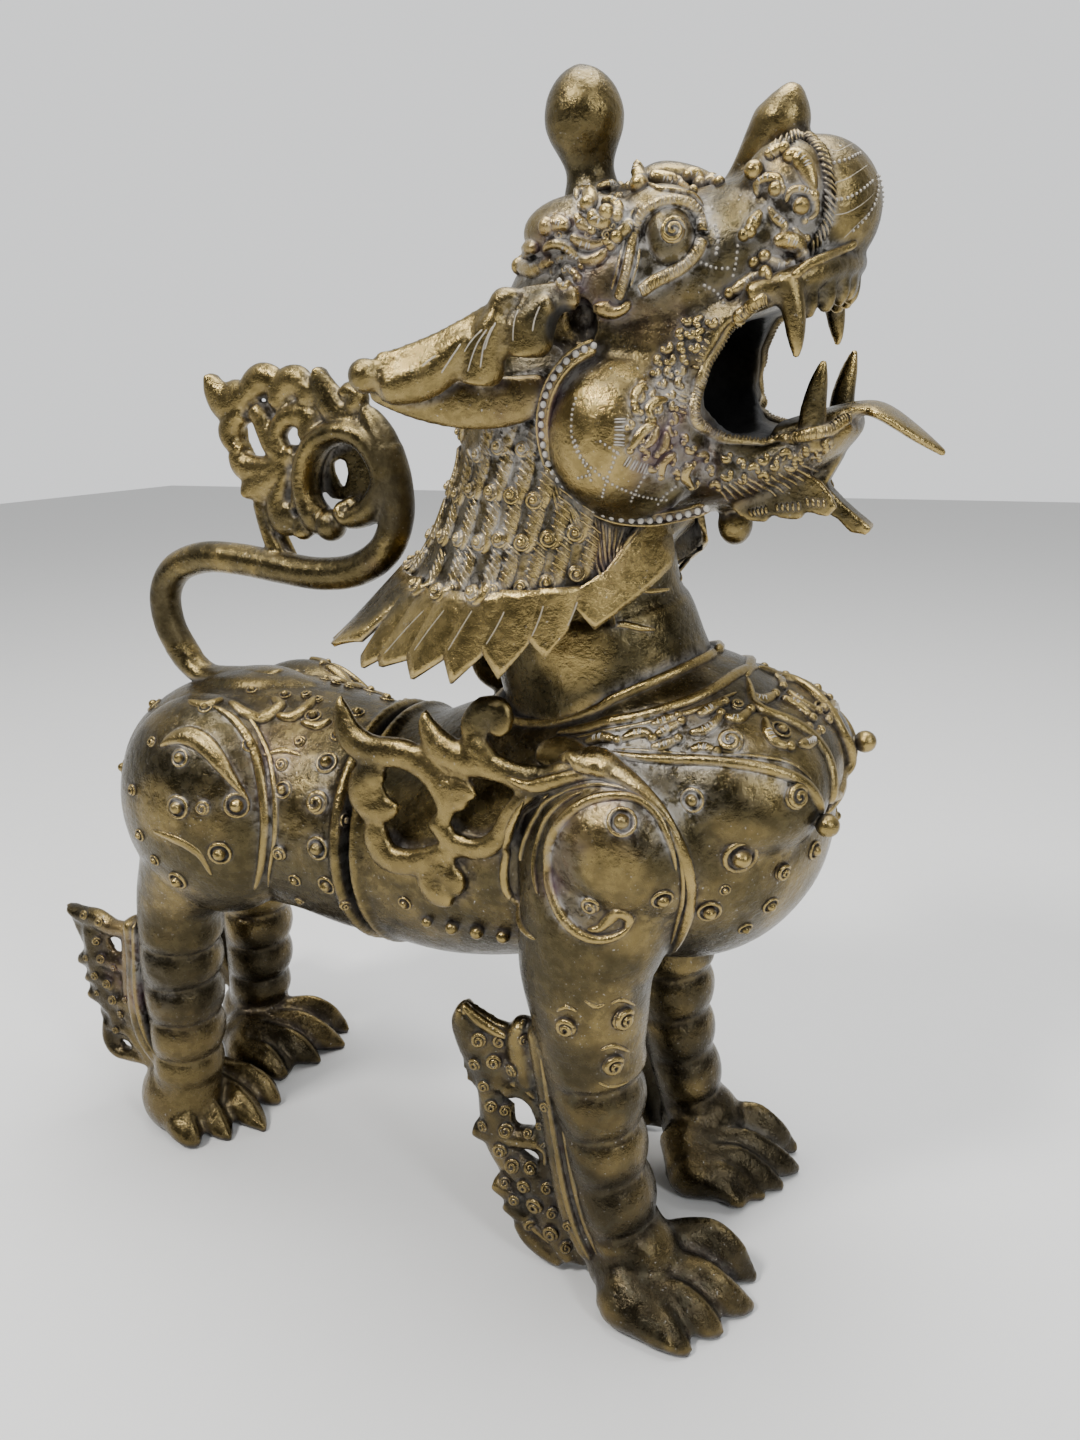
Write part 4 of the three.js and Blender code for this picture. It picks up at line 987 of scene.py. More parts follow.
GORGET_SCROLLS = [
    [(586, 743), (602, 737), (618, 741)], [(620, 742), (634, 734), (646, 733), (653, 739)],
    [(650, 748), (664, 745), (678, 739)], [(655, 737), (667, 729), (681, 722)], [(650, 727), (664, 721), (678, 717)],
    [(688, 733), (703, 731), (714, 724), (721, 715)], [(697, 717), (710, 709), (724, 703)],
    [(724, 717), (738, 719), (750, 711)], [(748, 694), (762, 700), (774, 695)],
    [(764, 718), (768, 732), (776, 743), (789, 747)], [(797, 745), (810, 742), (819, 731)],
    [(780, 698), (797, 705), (811, 719)], [(690, 751), (704, 748), (717, 752)],
]
BELLY_KNOBS = [(453, 925, 3.2), (478, 929, 3.4), (504, 933, 3.4), (428, 920, 2.6)]
CHEST_KNOBS = [((818, 820), 4.8, 0.9), ((174, 32, 250), 5, 0.95)]


def collar_rim(shape, skin):
    """The rolled rim of the hole that the neck stands in"""
    track = []
    for step in range(73):
        angle = TAU * step / 72
        out = Vector((math.cos(angle) * (COLLAR_RADII[0] + 5), math.sin(angle) * (COLLAR_RADII[1] + 5), 6))
        track.append(skin.near(NECK_PLACE @ out))
    strip(shape, track, 2.4, 3.4, head=0.01, tail=0.01)


def curls(shape, skin, spots):
    for u, v, radius in spots:
        place, normal = skin.seen(u, v)
        spiral(shape, place, normal, radius, radius * 0.5, thread=radius * 0.27)


def front_relief(shape):
    skin = Skin(shape)
    relief = new_shape()
    for points, width, height in SHOULDER_BANDS + GORGET_BANDS + KNEE_BANDS:
        band(relief, skin, points, width, height)
    for points in GORGET_SCROLLS:
        scroll(relief, skin, points, (1.2, 3, 2.6, 1.6), 2.4)
    studs(relief, skin, SHOULDER_STUDS + CHEST_STUDS + [(405, 903, 3.6)])
    curls(relief, skin, KNEE_CURLS + FORE_FIN_CURLS)
    for ridge in FORE_FIN_RIDGES:
        planar(relief, BODY_SIGHT, ridge, -FORE_TRACK * 1.06 - 3, thick=2.4, sides=8)
    for ridge in FORE_RIDGES:
        planar(relief, BODY_SIGHT, ridge, -FORE_TRACK - 13.5, thick=3.4, sides=8)
    for u, v, radius in BELLY_KNOBS:
        knob(relief, skin, (u, v), radius)
    add_both(shape, relief)
    collar_rim(shape, skin)
    for point, radius, proud in CHEST_KNOBS:
        knob(shape, skin, point, radius, proud)
        knob(shape, skin, point, radius * 0.6, 0)


def front_skin():
    shape = new_shape()
    chest(shape)
    ball(shape, (PECTORAL_CENTRE.x, 0, PECTORAL_CENTRE.z), (46, 44, 35), 40, 28)
    seam_rim(shape, SEAM_X + RIM_WIDTH * 0.7)
    right = new_shape()
    edge = SHOULDER_BULGE - 12
    profile = [(0, SHOULDER_BULGE), (8, SHOULDER_BULGE - 0.6), (15, SHOULDER_BULGE - 2.4),
               (22, SHOULDER_BULGE - 6), (28, edge), (34, edge - 6), (38, edge - 14), (38, -14), (0, -14)]
    lathe(right, profile, Matrix.Translation(SHOULDER_CENTRE) @ Matrix.Rotation(math.pi / 2, 4, "X"), 48)
    ball(right, PECTORAL_CENTRE, PECTORAL_RADII, 40, 28)
    planar(right, BODY_SIGHT, FORE_STRIP, -FORE_TRACK - 8, thick=8)
    leg(right, FORELEG, -FORE_TRACK, FORE_CREASES)
    flame_wing(right)
    for strand in FORE_FIN:
        planar(right, BODY_SIGHT, strand, -FORE_TRACK * 1.06, thick=6.4)
    plate(right, BODY_SIGHT, FORE_FIN_PLATE, FORE_FIN_HOLES, -FORE_TRACK * 1.06, 5)
    add_both(shape, right)
    paw(shape, (99, -53, 18), FORE_TOES)
    paw(shape, (99, 53, 18), FAR_FORE_TOES)
    skin = fused(shape, bpy.context.scene.lion_form.grain)
    settle_on_floor(skin)
    front_relief(skin)
    return skin


# Rear half
HAUNCH_CENTRE, HAUNCH_RADII = Vector((-135, -40, 201)), (54, 36, 58)
SLEEVE_X, SPIGOT_RADIUS = SEAM_X - SEAM_GAP, 51
RUMP = [
    (SLEEVE_X, 0, 192, 59, 59), (-60, 0, 192, 59, 59), (-85, 0, 196, 60, 59), (-110, 0, 199, 63, 60),
    (-140, 0, 200, 64, 60), (-168, 0, 200, 60, 56), (-190, 0, 199, 48, 46), (-204, 0, 198, 33, 33),
    (-212, 0, 198, 12, 12),
]
TAIL_SEAT = [(-96, 0, 256, 4, 3), (-112, 0, 258, 12, 4), (-132, 0, 259, 18, 5), (-155, 0, 256, 16, 5),
             (-176, 0, 246, 12, 5)]
HINDLEG = [
    (-140, 206, 10, 16), (-144, 192, 24, 32), (-150, 172, 25.5, 30), (-163, 148, 22.5, 23.5), (-168, 122, 21.4, 21.8),
    (-170.5, 98, 20.6, 20.8), (-171, 75, 20, 20),
    (-173, 52, 19, 19), (-175, 32, 18, 18), (-176, 8, 18, 18),
]
HIND_FIN = [
    [(70, 905, 1.6), (82, 914, 3.6), (97, 918, 4.8), (113, 927, 4), (128, 930, 3.4), (136, 936, 3)],
    [(92, 922, 6), (95, 945, 5), (97, 960, 5.4), (103, 980, 6), (110, 1000, 6), (119, 1014, 5), (118, 1030, 4)],
    [(82, 958, 2.6), (96, 956, 4.4), (118, 962, 4.4), (132, 966, 3)],
    [(89, 974, 2.6), (105, 978, 4.2), (118, 986, 4)],
    [(92, 990, 3.2), (110, 997, 5.4), (132, 1004, 5.6)],
    [(131, 926, 4), (131, 960, 4.2), (134, 1000, 4.8), (146, 1035, 4.8), (162, 1060, 4)],
    [(110, 1016, 2.6), (111, 1036, 3.4), (120, 1050, 3), (138, 1055, 2.8), (157, 1061, 3)],
    [(112, 1024, 3), (130, 1028, 3.4), (143, 1044, 3.2), (157, 1060, 3)],
    [(128, 1005, 5), (136, 1022, 5)],
]
HIND_FIN_PLATE = [
    (68, 903), (84, 906), (104, 917), (126, 924), (134, 940), (134, 1000), (147, 1035), (163, 1064), (134, 1061),
    (114, 1048), (109, 1030), (102, 1011), (101, 996), (91, 983), (93, 971), (80, 959), (86, 945), (77, 926),
]
HIND_FIN_HOLES = [
    [(108, 938), (118, 936), (126, 942), (125, 951), (115, 951)], [(120, 978), (128, 980), (128, 988), (121, 986)],
    [(121, 1038), (130, 1040), (136, 1051), (124, 1047)],
]
HIND_FIN_CURLS = [
    (84, 915, 3.2), (99, 922, 3.4), (97, 941, 3.4), (101, 959, 3.4), (86, 958, 2.4), (95, 976, 3), (107, 984, 3.4),
    (113, 1000, 3.6), (97, 993, 2.4), (121, 1014, 3.2), (116, 1030, 2.8), (126, 1000, 2.8), (114, 968, 2.6),
]
HIND_STRIP = [(134, 915, 4), (139, 950, 4.6), (141, 1000, 4.6), (150, 1034, 4.4), (168, 1060, 3.6)]
HIND_RIDGES = [
    [(136, 922, 1.2), (137, 960, 1.6), (139, 1000, 1.6), (149, 1036, 1.5), (167, 1062, 1)],
    [(147, 926, 1.2), (148, 962, 1.5), (150, 998, 1.5), (160, 1030, 1.4), (178, 1058, 1)],
]
HAUNCH_BANDS = [
    ([(160, 747), (174, 738), (188, 736), (204, 744), (220, 762), (236, 784), (250, 802)],
     (1, 4, 5.4, 5.4, 4.4, 2.6, 1), 2.6),
    ([(152, 830), (166, 836), (184, 844), (200, 856), (212, 876)], (1, 2.6, 2.6, 1), 1.2),
    ([(212, 706), (236, 722), (254, 750), (262, 785), (265, 825), (262, 862), (254, 890)],
     (1.6, 2.6, 3, 3, 2.6, 1.4), 2.6),
    ([(236, 706), (256, 728), (270, 760), (275, 800), (274, 845), (268, 888)], (0.8, 1.6, 1.8, 1.6, 0.8), 1.6),
    ([(188, 702), (206, 705), (224, 700)], (1, 3.4, 1), 2.4),
    ([(228, 702), (246, 714), (266, 716), (280, 706), (272, 698)], (1.6, 4.4, 5, 3.6, 2), 3.2),
    ([(276, 716), (292, 717), (306, 708), (316, 698)], (1.4, 4, 3.8, 1.4), 3),
    ([(300, 722), (318, 726), (332, 720)], (1.2, 3.2, 1.4), 2.4),
    ([(262, 756), (282, 750), (302, 756)], (0.8, 2.2, 0.8), 1.2),
]
REAR_STUDS = [
    (180, 758, 4.6), (133, 790, 3.6), (178, 807, 6), (237, 805, 6.4), (203, 808, 4.4), (220, 853, 6),
    (178, 880, 5.4), (152, 742, 3.2), (205, 708, 3.6), (283, 790, 4.4), (318, 803, 7), (327, 763, 5.6),
    (318, 848, 6), (280, 853, 4.6), (327, 885, 5), (250, 745, 4), (282, 765, 4), (140, 835, 3.4),
    (155, 860, 3.2), (300, 742, 3.6), (338, 735, 4), (295, 880, 3.6), (300, 900, 3.2), (226, 772, 3),
    (345, 820, 3.4), (345, 905, 3.4), (252, 690, 3.2), (285, 695, 3.4), (318, 700, 3.4),
]
# The studs of the back and the rump's rear, which the photograph shows edge-on or not at all
BACK_STUDS = [(-60, -16, 262, 4), (-78, -30, 262, 4.4), (-92, -14, 262, 3.6), (-186, -20, 240, 4.6),
              (-204, -8, 215, 4.4), (-198, -26, 190, 4.4), (-186, -44, 215, 5), (-206, -10, 180, 4)]


def rear_relief(shape):
    skin = Skin(shape)
    relief = new_shape()
    for points, width, height in HAUNCH_BANDS:
        band(relief, skin, points, width, height)
    studs(relief, skin, REAR_STUDS + BACK_STUDS)
    near = new_shape()
    for ridge in HIND_RIDGES:
        planar(near, BODY_SIGHT, ridge, -HIND_TRACK - 13.5, thick=3.4, sides=8)
    curls(near, skin, HIND_FIN_CURLS)
    add_both(shape, relief)
    add(shape, near)
    add(shape, near, Matrix.Translation(X * -FAR_HIND_SETBACK) @ Matrix.Diagonal((1, -1, 1, 1)))


def rear_skin():
    shape = new_shape()
    limb(shape, RUMP, sides=72, steps=60)
    seam_rim(shape, SLEEVE_X - RIM_WIDTH * 0.7)
    limb(shape, [(SEAM_X - 30, 0, BARREL_HEIGHT, SPIGOT_RADIUS, SPIGOT_RADIUS),
                 (SEAM_X + 12, 0, BARREL_HEIGHT, SPIGOT_RADIUS, SPIGOT_RADIUS)], sides=72, steps=4)
    limb(shape, TAIL_SEAT, sides=24, steps=24, head=0.1, tail=0.1)
    near = new_shape()
    leg(near, HINDLEG, -HIND_TRACK, HIND_CREASES)
    for strand in HIND_FIN:
        planar(near, BODY_SIGHT, strand, -HIND_TRACK * 1.05, thick=5)
    plate(near, BODY_SIGHT, HIND_FIN_PLATE, HIND_FIN_HOLES, -HIND_TRACK * 1.05, 4)
    planar(near, BODY_SIGHT, HIND_STRIP, -HIND_TRACK - 8, thick=8)
    far = new_shape()
    add(far, near, Matrix.Diagonal((1, -1, 1, 1)))
    for vert in far.verts:
        vert.co.x -= FAR_HIND_SETBACK * (1 - ease(vert.co.z, 90, 170))
    paw(near, (-182, -44, 18), HIND_TOES)
    paw(far, (-200, 44, 18), FAR_HIND_TOES)
    ball(near, HAUNCH_CENTRE, HAUNCH_RADII, sides=48, rings=32)
    ball(far, (HAUNCH_CENTRE.x, -HAUNCH_CENTRE.y, HAUNCH_CENTRE.z), HAUNCH_RADII, sides=48, rings=32)
    add(shape, near)
    add(shape, far)
    skin = fused(shape, bpy.context.scene.lion_form.grain)
    settle_on_floor(skin)
    rear_relief(skin)
    return skin


# Tail
TAIL_RADIUS = 8.2
TAIL_TONGUE = [(-118, 0, 262, 5, 2.4), (-130, 0, 261.5, 9, 3.2), (-150, 0, 259, 10, 4), (-168, 0, 257, 9, 6),
               (-179, 0, 263, 8.2, 7.4), (-187, 0, 273, 8.2, 8.2)]
TAIL_PATH = [
    (-181, 0, 265), (-191, 0, 282), (-192, 0, 300), (-182, 0, 314), (-162, 0, 321), (-138, 0, 321),
    (-112, 0, 318), (-88, 0, 316), (-66, 0, 319), (-49, 0, 329), (-41, 0, 345), (-41, 0, 362),
    (-45, 0, 376),
]
TAIL_END = [(-44, 0, 372, 8.2, 8.2), (-47.5, 0, 381, 7.4, 7.8), (-52, 0, 389, 5.6, 6), (-58, 0, 395, 3.6, 4)]
TAIL_FLAME_STRANDS = [
    [(210, 373, 1), (216, 390, 4.6), (228, 403, 6.6), (240, 398, 6), (252, 394, 3.6)],
    [(250, 402, 3), (252, 389, 4.6), (262, 379, 5), (274, 382, 4.6), (279, 394, 3.6), (275, 406, 2.6)],
    [(283, 408, 3), (280, 396, 4.4), (287, 384, 5), (299, 382, 5), (307, 392, 3.6), (306, 404, 3)],
    [(311, 385, 2.4), (312, 393, 3.4), (309, 401, 2.4)],
    [(319, 366, 1), (321, 380, 3.6), (326, 395, 5.4), (335, 408, 5.4), (347, 416, 4.6), (360, 421, 3.6)],
    [(345, 396, 2), (351, 391, 3), (359, 396, 3), (358, 404, 3), (350, 406, 2.4)],
    [(246, 412, 3), (236, 420, 4), (231, 432, 4.6), (236, 445, 3.4), (246, 452, 2.4)],
    [(237, 450, 3), (243, 464, 4.6), (256, 470, 4.8), (270, 468, 4), (284, 462, 2.6)],
    [(247, 497, 1.6), (254, 487, 5), (266, 482, 5.6), (278, 474, 4.6), (290, 462, 3)],
    [(254, 408, 3.4), (262, 418, 3.6), (267, 432, 3.4), (274, 447, 3.6), (286, 457, 3.8), (300, 452, 3)],
    [(304, 442, 3.4), (312, 428, 5), (306, 416, 4.8), (290, 416, 3.6), (280, 427, 3.2), (278, 441, 3),
     (286, 451, 3)],
    [(292, 468, 2), (284, 486, 2.8), (279, 504, 4.6), (286, 518, 6), (298, 511, 4.6)],
    [(300, 470, 2), (299, 490, 2), (300, 508, 3)],
    [(303, 516, 2.4), (304, 528, 4.4), (305, 536, 3.8)],
]
TAIL_RING = [(331, 528, 7.4), (318, 517, 6), (309, 500, 4.8), (306, 478, 4.6), (310, 457, 4.6), (319, 442, 4.6),
             (334, 433, 4.8), (350, 431, 5), (366, 438, 5.4), (378, 452, 5.8), (386, 470, 5.8), (386, 488, 5.8),
             (378, 503, 5.6), (366, 513, 5), (352, 518, 4), (346, 509, 3.6), (352, 502, 3)]
TAIL_KNOBS = [(331, 525, 8), (353, 505, 4.6), (304, 531, 4.6), (353, 400, 3)]
TAIL_STRUTS = [([(259, 500, 3), (267, 530, 3), (279, 560, 3.8)], 0), ([(276, 524, 3), (283, 540, 3), (291, 560, 3.8)], 8)]
# The web behind the flame's strands, and its holes
TAIL_WEB = [
    (214, 378), (230, 388), (248, 388), (258, 378), (272, 376), (282, 384), (296, 378), (309, 384), (315, 376),
    (322, 372), (331, 382), (345, 394), (362, 392), (366, 404), (362, 424), (330, 440), (312, 452), (302, 470),
    (300, 512), (290, 524), (277, 517), (272, 500), (264, 496), (249, 495), (250, 480), (241, 464), (238, 450),
    (229, 434), (231, 418), (220, 404),
]
TAIL_HOLES = [
    [(246, 424), (256, 422), (264, 432), (270, 450), (268, 458), (256, 458), (248, 440)],
    [(284, 428), (296, 425), (302, 434), (300, 446), (290, 446)], [(288, 490), (295, 494), (297, 505), (290, 505)],
    [(258, 394), (266, 394), (268, 402), (261, 404)], [(288, 392), (297, 392), (297, 400), (289, 401)],
]
TAIL_WEB_Y = 3
# The finial's far side, which is seen dark through the ring
TAIL_BACK = [(308, 446), (328, 432), (370, 436), (384, 470), (380, 500), (352, 502), (332, 498), (316, 478)]
TAIL_BACK_HOLE = [(333, 463), (340, 459), (347, 461), (349, 474), (346, 486), (342, 487), (335, 473)]
TAIL_BACK_Y = 11


def tail_skin():
    shape = new_shape()
    tube(shape, TAIL_PATH, TAIL_RADIUS, sides=36, steps=120)
    limb(shape, TAIL_END, sides=36, steps=20, tail=0.3)
    plate(shape, BODY_SIGHT, TAIL_WEB, TAIL_HOLES, TAIL_WEB_Y, 3)
    limb(shape, TAIL_TONGUE, sides=24, steps=30, head=0.06)
    for strand in TAIL_FLAME_STRANDS:
        planar(shape, BODY_SIGHT, [(u, v, half * 1.2) for u, v, half in strand], 0, thick=5.2)
    planar(shape, BODY_SIGHT, TAIL_RING, 0, thick=9, steps=80, sides=20)
    for strut, y in TAIL_STRUTS:
        planar(shape, BODY_SIGHT, strut, y, thick=3.4)
    plate(shape, BODY_SIGHT, TAIL_BACK, [TAIL_BACK_HOLE], TAIL_BACK_Y, 4)
    for u, v, radius in TAIL_KNOBS:
        ball(shape, BODY_SIGHT.on_side(u, v, -1), (radius,) * 3, 20, 14)
    return fused(shape, 1.1)


# Neck and mane
COLLAR_RADII = (48, 43)
NECK = [(0, 0, 0, 0), (0, 0, 12, 0.6), (1, 0, 26, 1.6), (2, 0, 36, 3.4), (3, 0, 41, 5.2), (5, 0, 50, 6),
        (11, 0, 70, 8), (16, 0, 95, 12)]
NECK_PLACE = Matrix.Translation(NECK_FOOT) @ Matrix.Rotation(-NECK_TILT, 4, "Y")
MANE = [
    (56, 0, 438, 34, 28), (54, 0, 418, 46, 38), (55, 0, 395, 53, 43), (55, 0, 368, 57, 48),
    (50, 0, 338, 60, 56), (44, 0, 315, 65, 63), (38, 0, 299, 71, 70), (32, 0, 284, 77, 77),
]
MANE_HEM = [(-60, 322), (-20, 323), (20, 326), (45, 327), (67, 329), (82, 331), (95, 338), (104, 347),
            (112, 358), (122, 375), (150, 405)]


def mane_point(t, degrees, reach=1.0):
    """A point of the mane's bell at a bearing: 180 degrees is the nape"""
    x, _, z, wide, deep = along(MANE, t)
    small = 1e-3
    ahead = first_three(along(MANE, min(t + small, 1)) - along(MANE, max(t - small, 0))).normalized()
    bearing = math.radians(degrees)
    return Vector((x, 0, z)) + Y * math.sin(bearing) * wide * reach + (
        Y.cross(ahead).normalized() * -math.cos(bearing) * deep * reach)


def hem_height(x):
    for (x0, z0), (x1, z1) in zip(MANE_HEM, MANE_HEM[1:]):
        if x <= x1:
            return z0 + (z1 - z0) * (x - x0) / (x1 - x0)
    return MANE_HEM[-1][1]


def neck(shape):
    stations = [(x, y, z, COLLAR_RADII[1] - slim, COLLAR_RADII[0] - slim) for x, y, z, slim in NECK]
    part = new_shape()
    limb(part, stations, sides=72, steps=40)
    add(shape, part, NECK_PLACE)


def bell_point(degrees, height_of):
    """Where the bell comes down to a height at a bearing, and the way the bell runs there"""
    low, high = 0.1, 1.0
    for _ in range(24):
        middle = (low + high) / 2
        place = mane_point(middle, degrees)
        low, high = (middle, high) if place.z > height_of(place.x) else (low, middle)
    place = mane_point(low, degrees)
    run = (place - mane_point(low - 0.06, degrees)).normalized()
    return place, run


def skirt_point(degrees, drop, proud=0.0):
    """A point of the flared skirt that the hem's blades lie on"""
    place, run = bell_point(degrees, hem_height)
    bearing = math.radians(degrees)
    out = Vector((math.cos(bearing), math.sin(bearing), 0))
    return place + (run + out * 0.12).normalized() * drop + out * proud


# Blades of the hem on the right side, each told by the pixels of its upper and its lower edge
HEM_BLADES = [
    ([(412, 582), (430, 590)], [(365, 657), (367, 668), (388, 656)]),
    ([(425, 588), (449, 592)], [(381, 650), (385, 667), (413, 659)]),
    ([(444, 590), (477, 593)], [(410, 652), (416, 679), (449, 657)]),
    ([(472, 591), (508, 592)], [(446, 650), (454, 683), (486, 653)]),
    ([(503, 590), (544, 589)], [(481, 645), (500, 678), (531, 641)]),
    ([(540, 588), (580, 585)], [(527, 636), (545, 657), (566, 630)]),
    ([(572, 592), (604, 570), (620, 545), (634, 524), (662, 514), (704, 512)],
     [(574, 606), (593, 629), (640, 591), (668, 566), (690, 542), (708, 519)]),
]
# The blades of the nape, which the photograph doesn't show: bearings and drops in millimetres
NAPE_BLADES = [(-174, 9), (-162, 9), (-151, 9), (-141, 9)]
CURL_ROWS = [
    [(416, 585), (437, 591), (454, 590), (473, 593), (496, 590), (522, 587), (547, 582), (576, 573)],
    [(427, 533), (444, 536), (460, 539), (480, 542), (500, 539), (522, 542), (548, 538), (574, 532)],
    [(445, 486), (459, 495), (473, 490), (492, 492), (512, 495), (534, 500)],
    [(459, 432), (479, 455), (499, 447), (523, 449)],
]
CURL_RADIUS, NAPE_STEP = 4.3, 8
NECK_BANDS = [
    ([(604, 619), (622, 624), (640, 628), (656, 630)], (0.6, 1.6, 1.6, 0.6), 1.2),
    ([(638, 588), (652, 591), (670, 589)], (0.6, 1.4, 0.6), 1.0),
]


def skirt(shape):
    """The skirt's surface, for finding where a pixel meets it"""
    rows = []
    for step in range(17):
        rows.append([shape.verts.new(skirt_point(degrees, step * 4 - 22, 0.8)) for degrees in range(-190, -20, 6)])
    for upper, lower in zip(rows, rows[1:]):
        for i in range(len(upper) - 1):
            shape.faces.new((upper[i], upper[i + 1], lower[i + 1], lower[i]))


def blade(shape, upper, lower, place_of, outward, thick=2.4, crown=1.0):
    """A blade with a crowned face between two edges, which place_of carries to the skirt"""
    part = new_shape()
    bmesh.ops.create_grid(part, x_segments=10, y_segments=8, size=0.5)
    for vert in part.verts:
        s, t = vert.co.x + 0.5, vert.co.y + 0.5
        spot = polyline(upper, s).lerp(polyline(lower, s), t)
        vert.co = place_of(*spot) + outward(*spot) * crown * (1 - (2 * s - 1) ** 2)
    bmesh.ops.recalc_face_normals(part, faces=part.faces)
    bmesh.ops.solidify(part, geom=part.faces[:], thickness=thick)
    add(shape, part)


def lock(shape, skin, place, normal, size=1.0):
    """A lock of hair that flows down and back into a curl"""
    up = (Z - normal * Z.dot(normal)).normalized()
    fore = up.cross(normal)

    def at(ahead, above):
        return place + (fore * ahead + up * above) * size

    spine = [at(8.4, 18), at(7.2, 11.5), at(5.4, 6), at(4.4, 1), at(2.6, -2.8), at(0, -4)]
    strip(shape, skin.track(spine, 2), (1.6, 3.2, 3.2, 2.2, 1.2), (1, 1.7, 1.8, 1.6, 1), sides=7)
    for barb in range(6):
        s = barb / 5
        middle = at(8 - 3.6 * s, 16.5 - 13.5 * s)
        start = middle - fore * 3.3 * size + up * 2.4 * size
        end = middle + fore * 2.9 * size - up * 2.8 * size
        track = [(point + out * 1.1, out) for point, out in skin.track([start, middle, end], 2.2)]
        strip(shape, track, 0.62, 1.0, sides=5, head=0.25, tail=0.25)
    spiral(shape, place, normal, CURL_RADIUS * size, 3 * size, thread=0.95 * size, turns=1.5, handed=-1,
           start=0.2)
    ball(shape, place + normal * 2.2 * size, (1.5 * size,) * 3, 8, 6)


BLADE_LINES = [
    [(425, 609), (404, 631), (383, 655)], [(445, 609), (430, 628), (413, 652)], [(473, 609), (460, 630), (447, 652)],
    [(505, 610), (496, 628), (485, 646)], [(544, 604), (538, 622), (531, 638)], [(578, 600), (573, 614), (567, 628)],
]


def mane_relief(shape):
    skin = Skin(shape, HEAD_SIGHT)
    relief = new_shape()
    for i, row in enumerate(CURL_ROWS):
        places = [skin.seen(*pixel) for pixel in row]
        height = places[0][0].z
        places += [skin.near(bell_point(degrees, lambda x: height)[0])
                   for degrees in range(-180 + NAPE_STEP // 2, -148, NAPE_STEP)]
        for place, normal in places:
            lock(relief, skin, place, normal, (1.0, 1.0, 1.0, 0.9)[i])
    for points, width, height in NECK_BANDS:
        band(relief, skin, points, width, height)
    for points in BLADE_LINES:
        band(relief, skin, points, 0.38, 0.5, sides=6, white=0.5)
    hair(relief, skin, [(586, 512), (640, 524)], [(600, 576), (622, 548)], 8, 0.9)
    hair(relief, skin, [(548, 470), (572, 505)], [(560, 520), (596, 548)], 6, 0.9)
    add_both(shape, relief)


def mane_skin():
    bell = new_shape()
    limb(bell, MANE, sides=96, steps=60)
    below = new_shape()
    slab(below, [*MANE_HEM, (160, 200), (-120, 200)], 260)
    inner = new_shape()
    limb(inner, [(x, y, z, wide - 6, deep - 6) for x, y, z, wide, deep in MANE[4:]] + [
        (27, 0, 268, 76, 76)], sides=64, steps=20)
    shape = carved(carved(bell, below), inner)
    neck(shape)
    shape = fused(shape, bpy.context.scene.lion_form.grain)
    surface = new_shape()
    skirt(surface)
    skin = Skin(surface, HEAD_SIGHT)
    centre = Vector((MANE[-1][0], 0, 0))

    def outward(place):
        return Vector((place.x - centre.x, place.y, 0)).normalized()

    right = new_shape()
    for upper, lower in HEM_BLADES:
        blade(right, upper, lower, lambda u, v: skin.seen(u, v)[0], lambda u, v: outward(skin.seen(u, v)[0]))
    for degrees, half in NAPE_BLADES:
        blade(right, [(degrees - half, -8), (degrees + half, -8)],
              [(degrees - half * 0.8, 30), (degrees, 39), (degrees + half * 0.8, 30)],
              lambda bearing, drop: skirt_point(bearing, drop, 0.8),
              lambda bearing, drop: outward(skirt_point(bearing, drop)))
    add_both(shape, right)
    mane_relief(shape)
    return shape


# Head
NOSE_BALL, NOSE_RADIUS = Vector((151, 0, 460)), 24
CHEEK_CENTRE, CHEEK_RADII = Vector((90, -40, 388)), (28, 25, 30)
CHEEK_FLANGE_RADII = (34, 15, 35)
CRANIUM = [
    (40, 0, 422, 26, 17), (54, 0, 428, 41, 26), (72, 0, 434, 48, 33), (90, 0, 438, 50, 35),
    (108, 0, 440, 45, 34), (124, 0, 446, 38, 27), (142, 0, 453, 33, 24), (160, 0, 458, 22, 17),
]
JAW = [
    (74, 0, 394, 46, 34), (96, 0, 386, 46, 34), (118, 0, 377, 41, 25), (138, 0, 375, 36, 15),
    (152, 0, 379, 31, 11), (163, 0, 384, 24, 8), (170, 0, 388, 16, 4.5),
]
FACE = [
    (80, 0, 420, 50, 40), (104, 0, 414, 47, 38), (122, 0, 414, 43, 34), (136, 0, 420, 40, 30),
    (150, 0, 432, 36, 20),
]
MOUTH = [
    (122, 397), (124, 412), (131, 424), (152, 431), (168, 440), (210, 450), (210, 390), (176, 395),
    (160, 388), (142, 382), (128, 385),
]
THROAT_CENTRE, THROAT_RADII = Vector((110, 0, 405)), (36, 38, 26)
LIP = [(138, -38, 433, 4, 4), (150, -32, 436, 5, 5), (160, -20, 440, 5, 5.4), (165, 0, 442, 5, 5.6),
       (160, 20, 440, 5, 5.4), (150, 32, 436, 5, 5), (138, 38, 433, 4, 4)]
FRONT_TEETH = [((156, -26, 431), (3.8, 3.6, 7)), ((160.5, -18.5, 433), (4, 3.8, 7.4)),
               ((163.5, -10, 435), (4, 4, 7.6)), ((165, -1.6, 436), (3.4, 3.6, 7))]
CROWN_HORN = [
    (0, -14), (12, -14), (12, 0), (9.2, 12), (14, 24), (15, 31), (12.5, 39), (7, 45), (0, 48),
]
NOSE_HORN = [
    (118, 0, 462, 6, 6), (127, 0, 472, 7, 7), (135, 0, 482, 10, 9.5), (140, 0, 490, 11, 10),
    (142, 0, 497, 7, 6), (142, 0, 501, 2, 2),
]
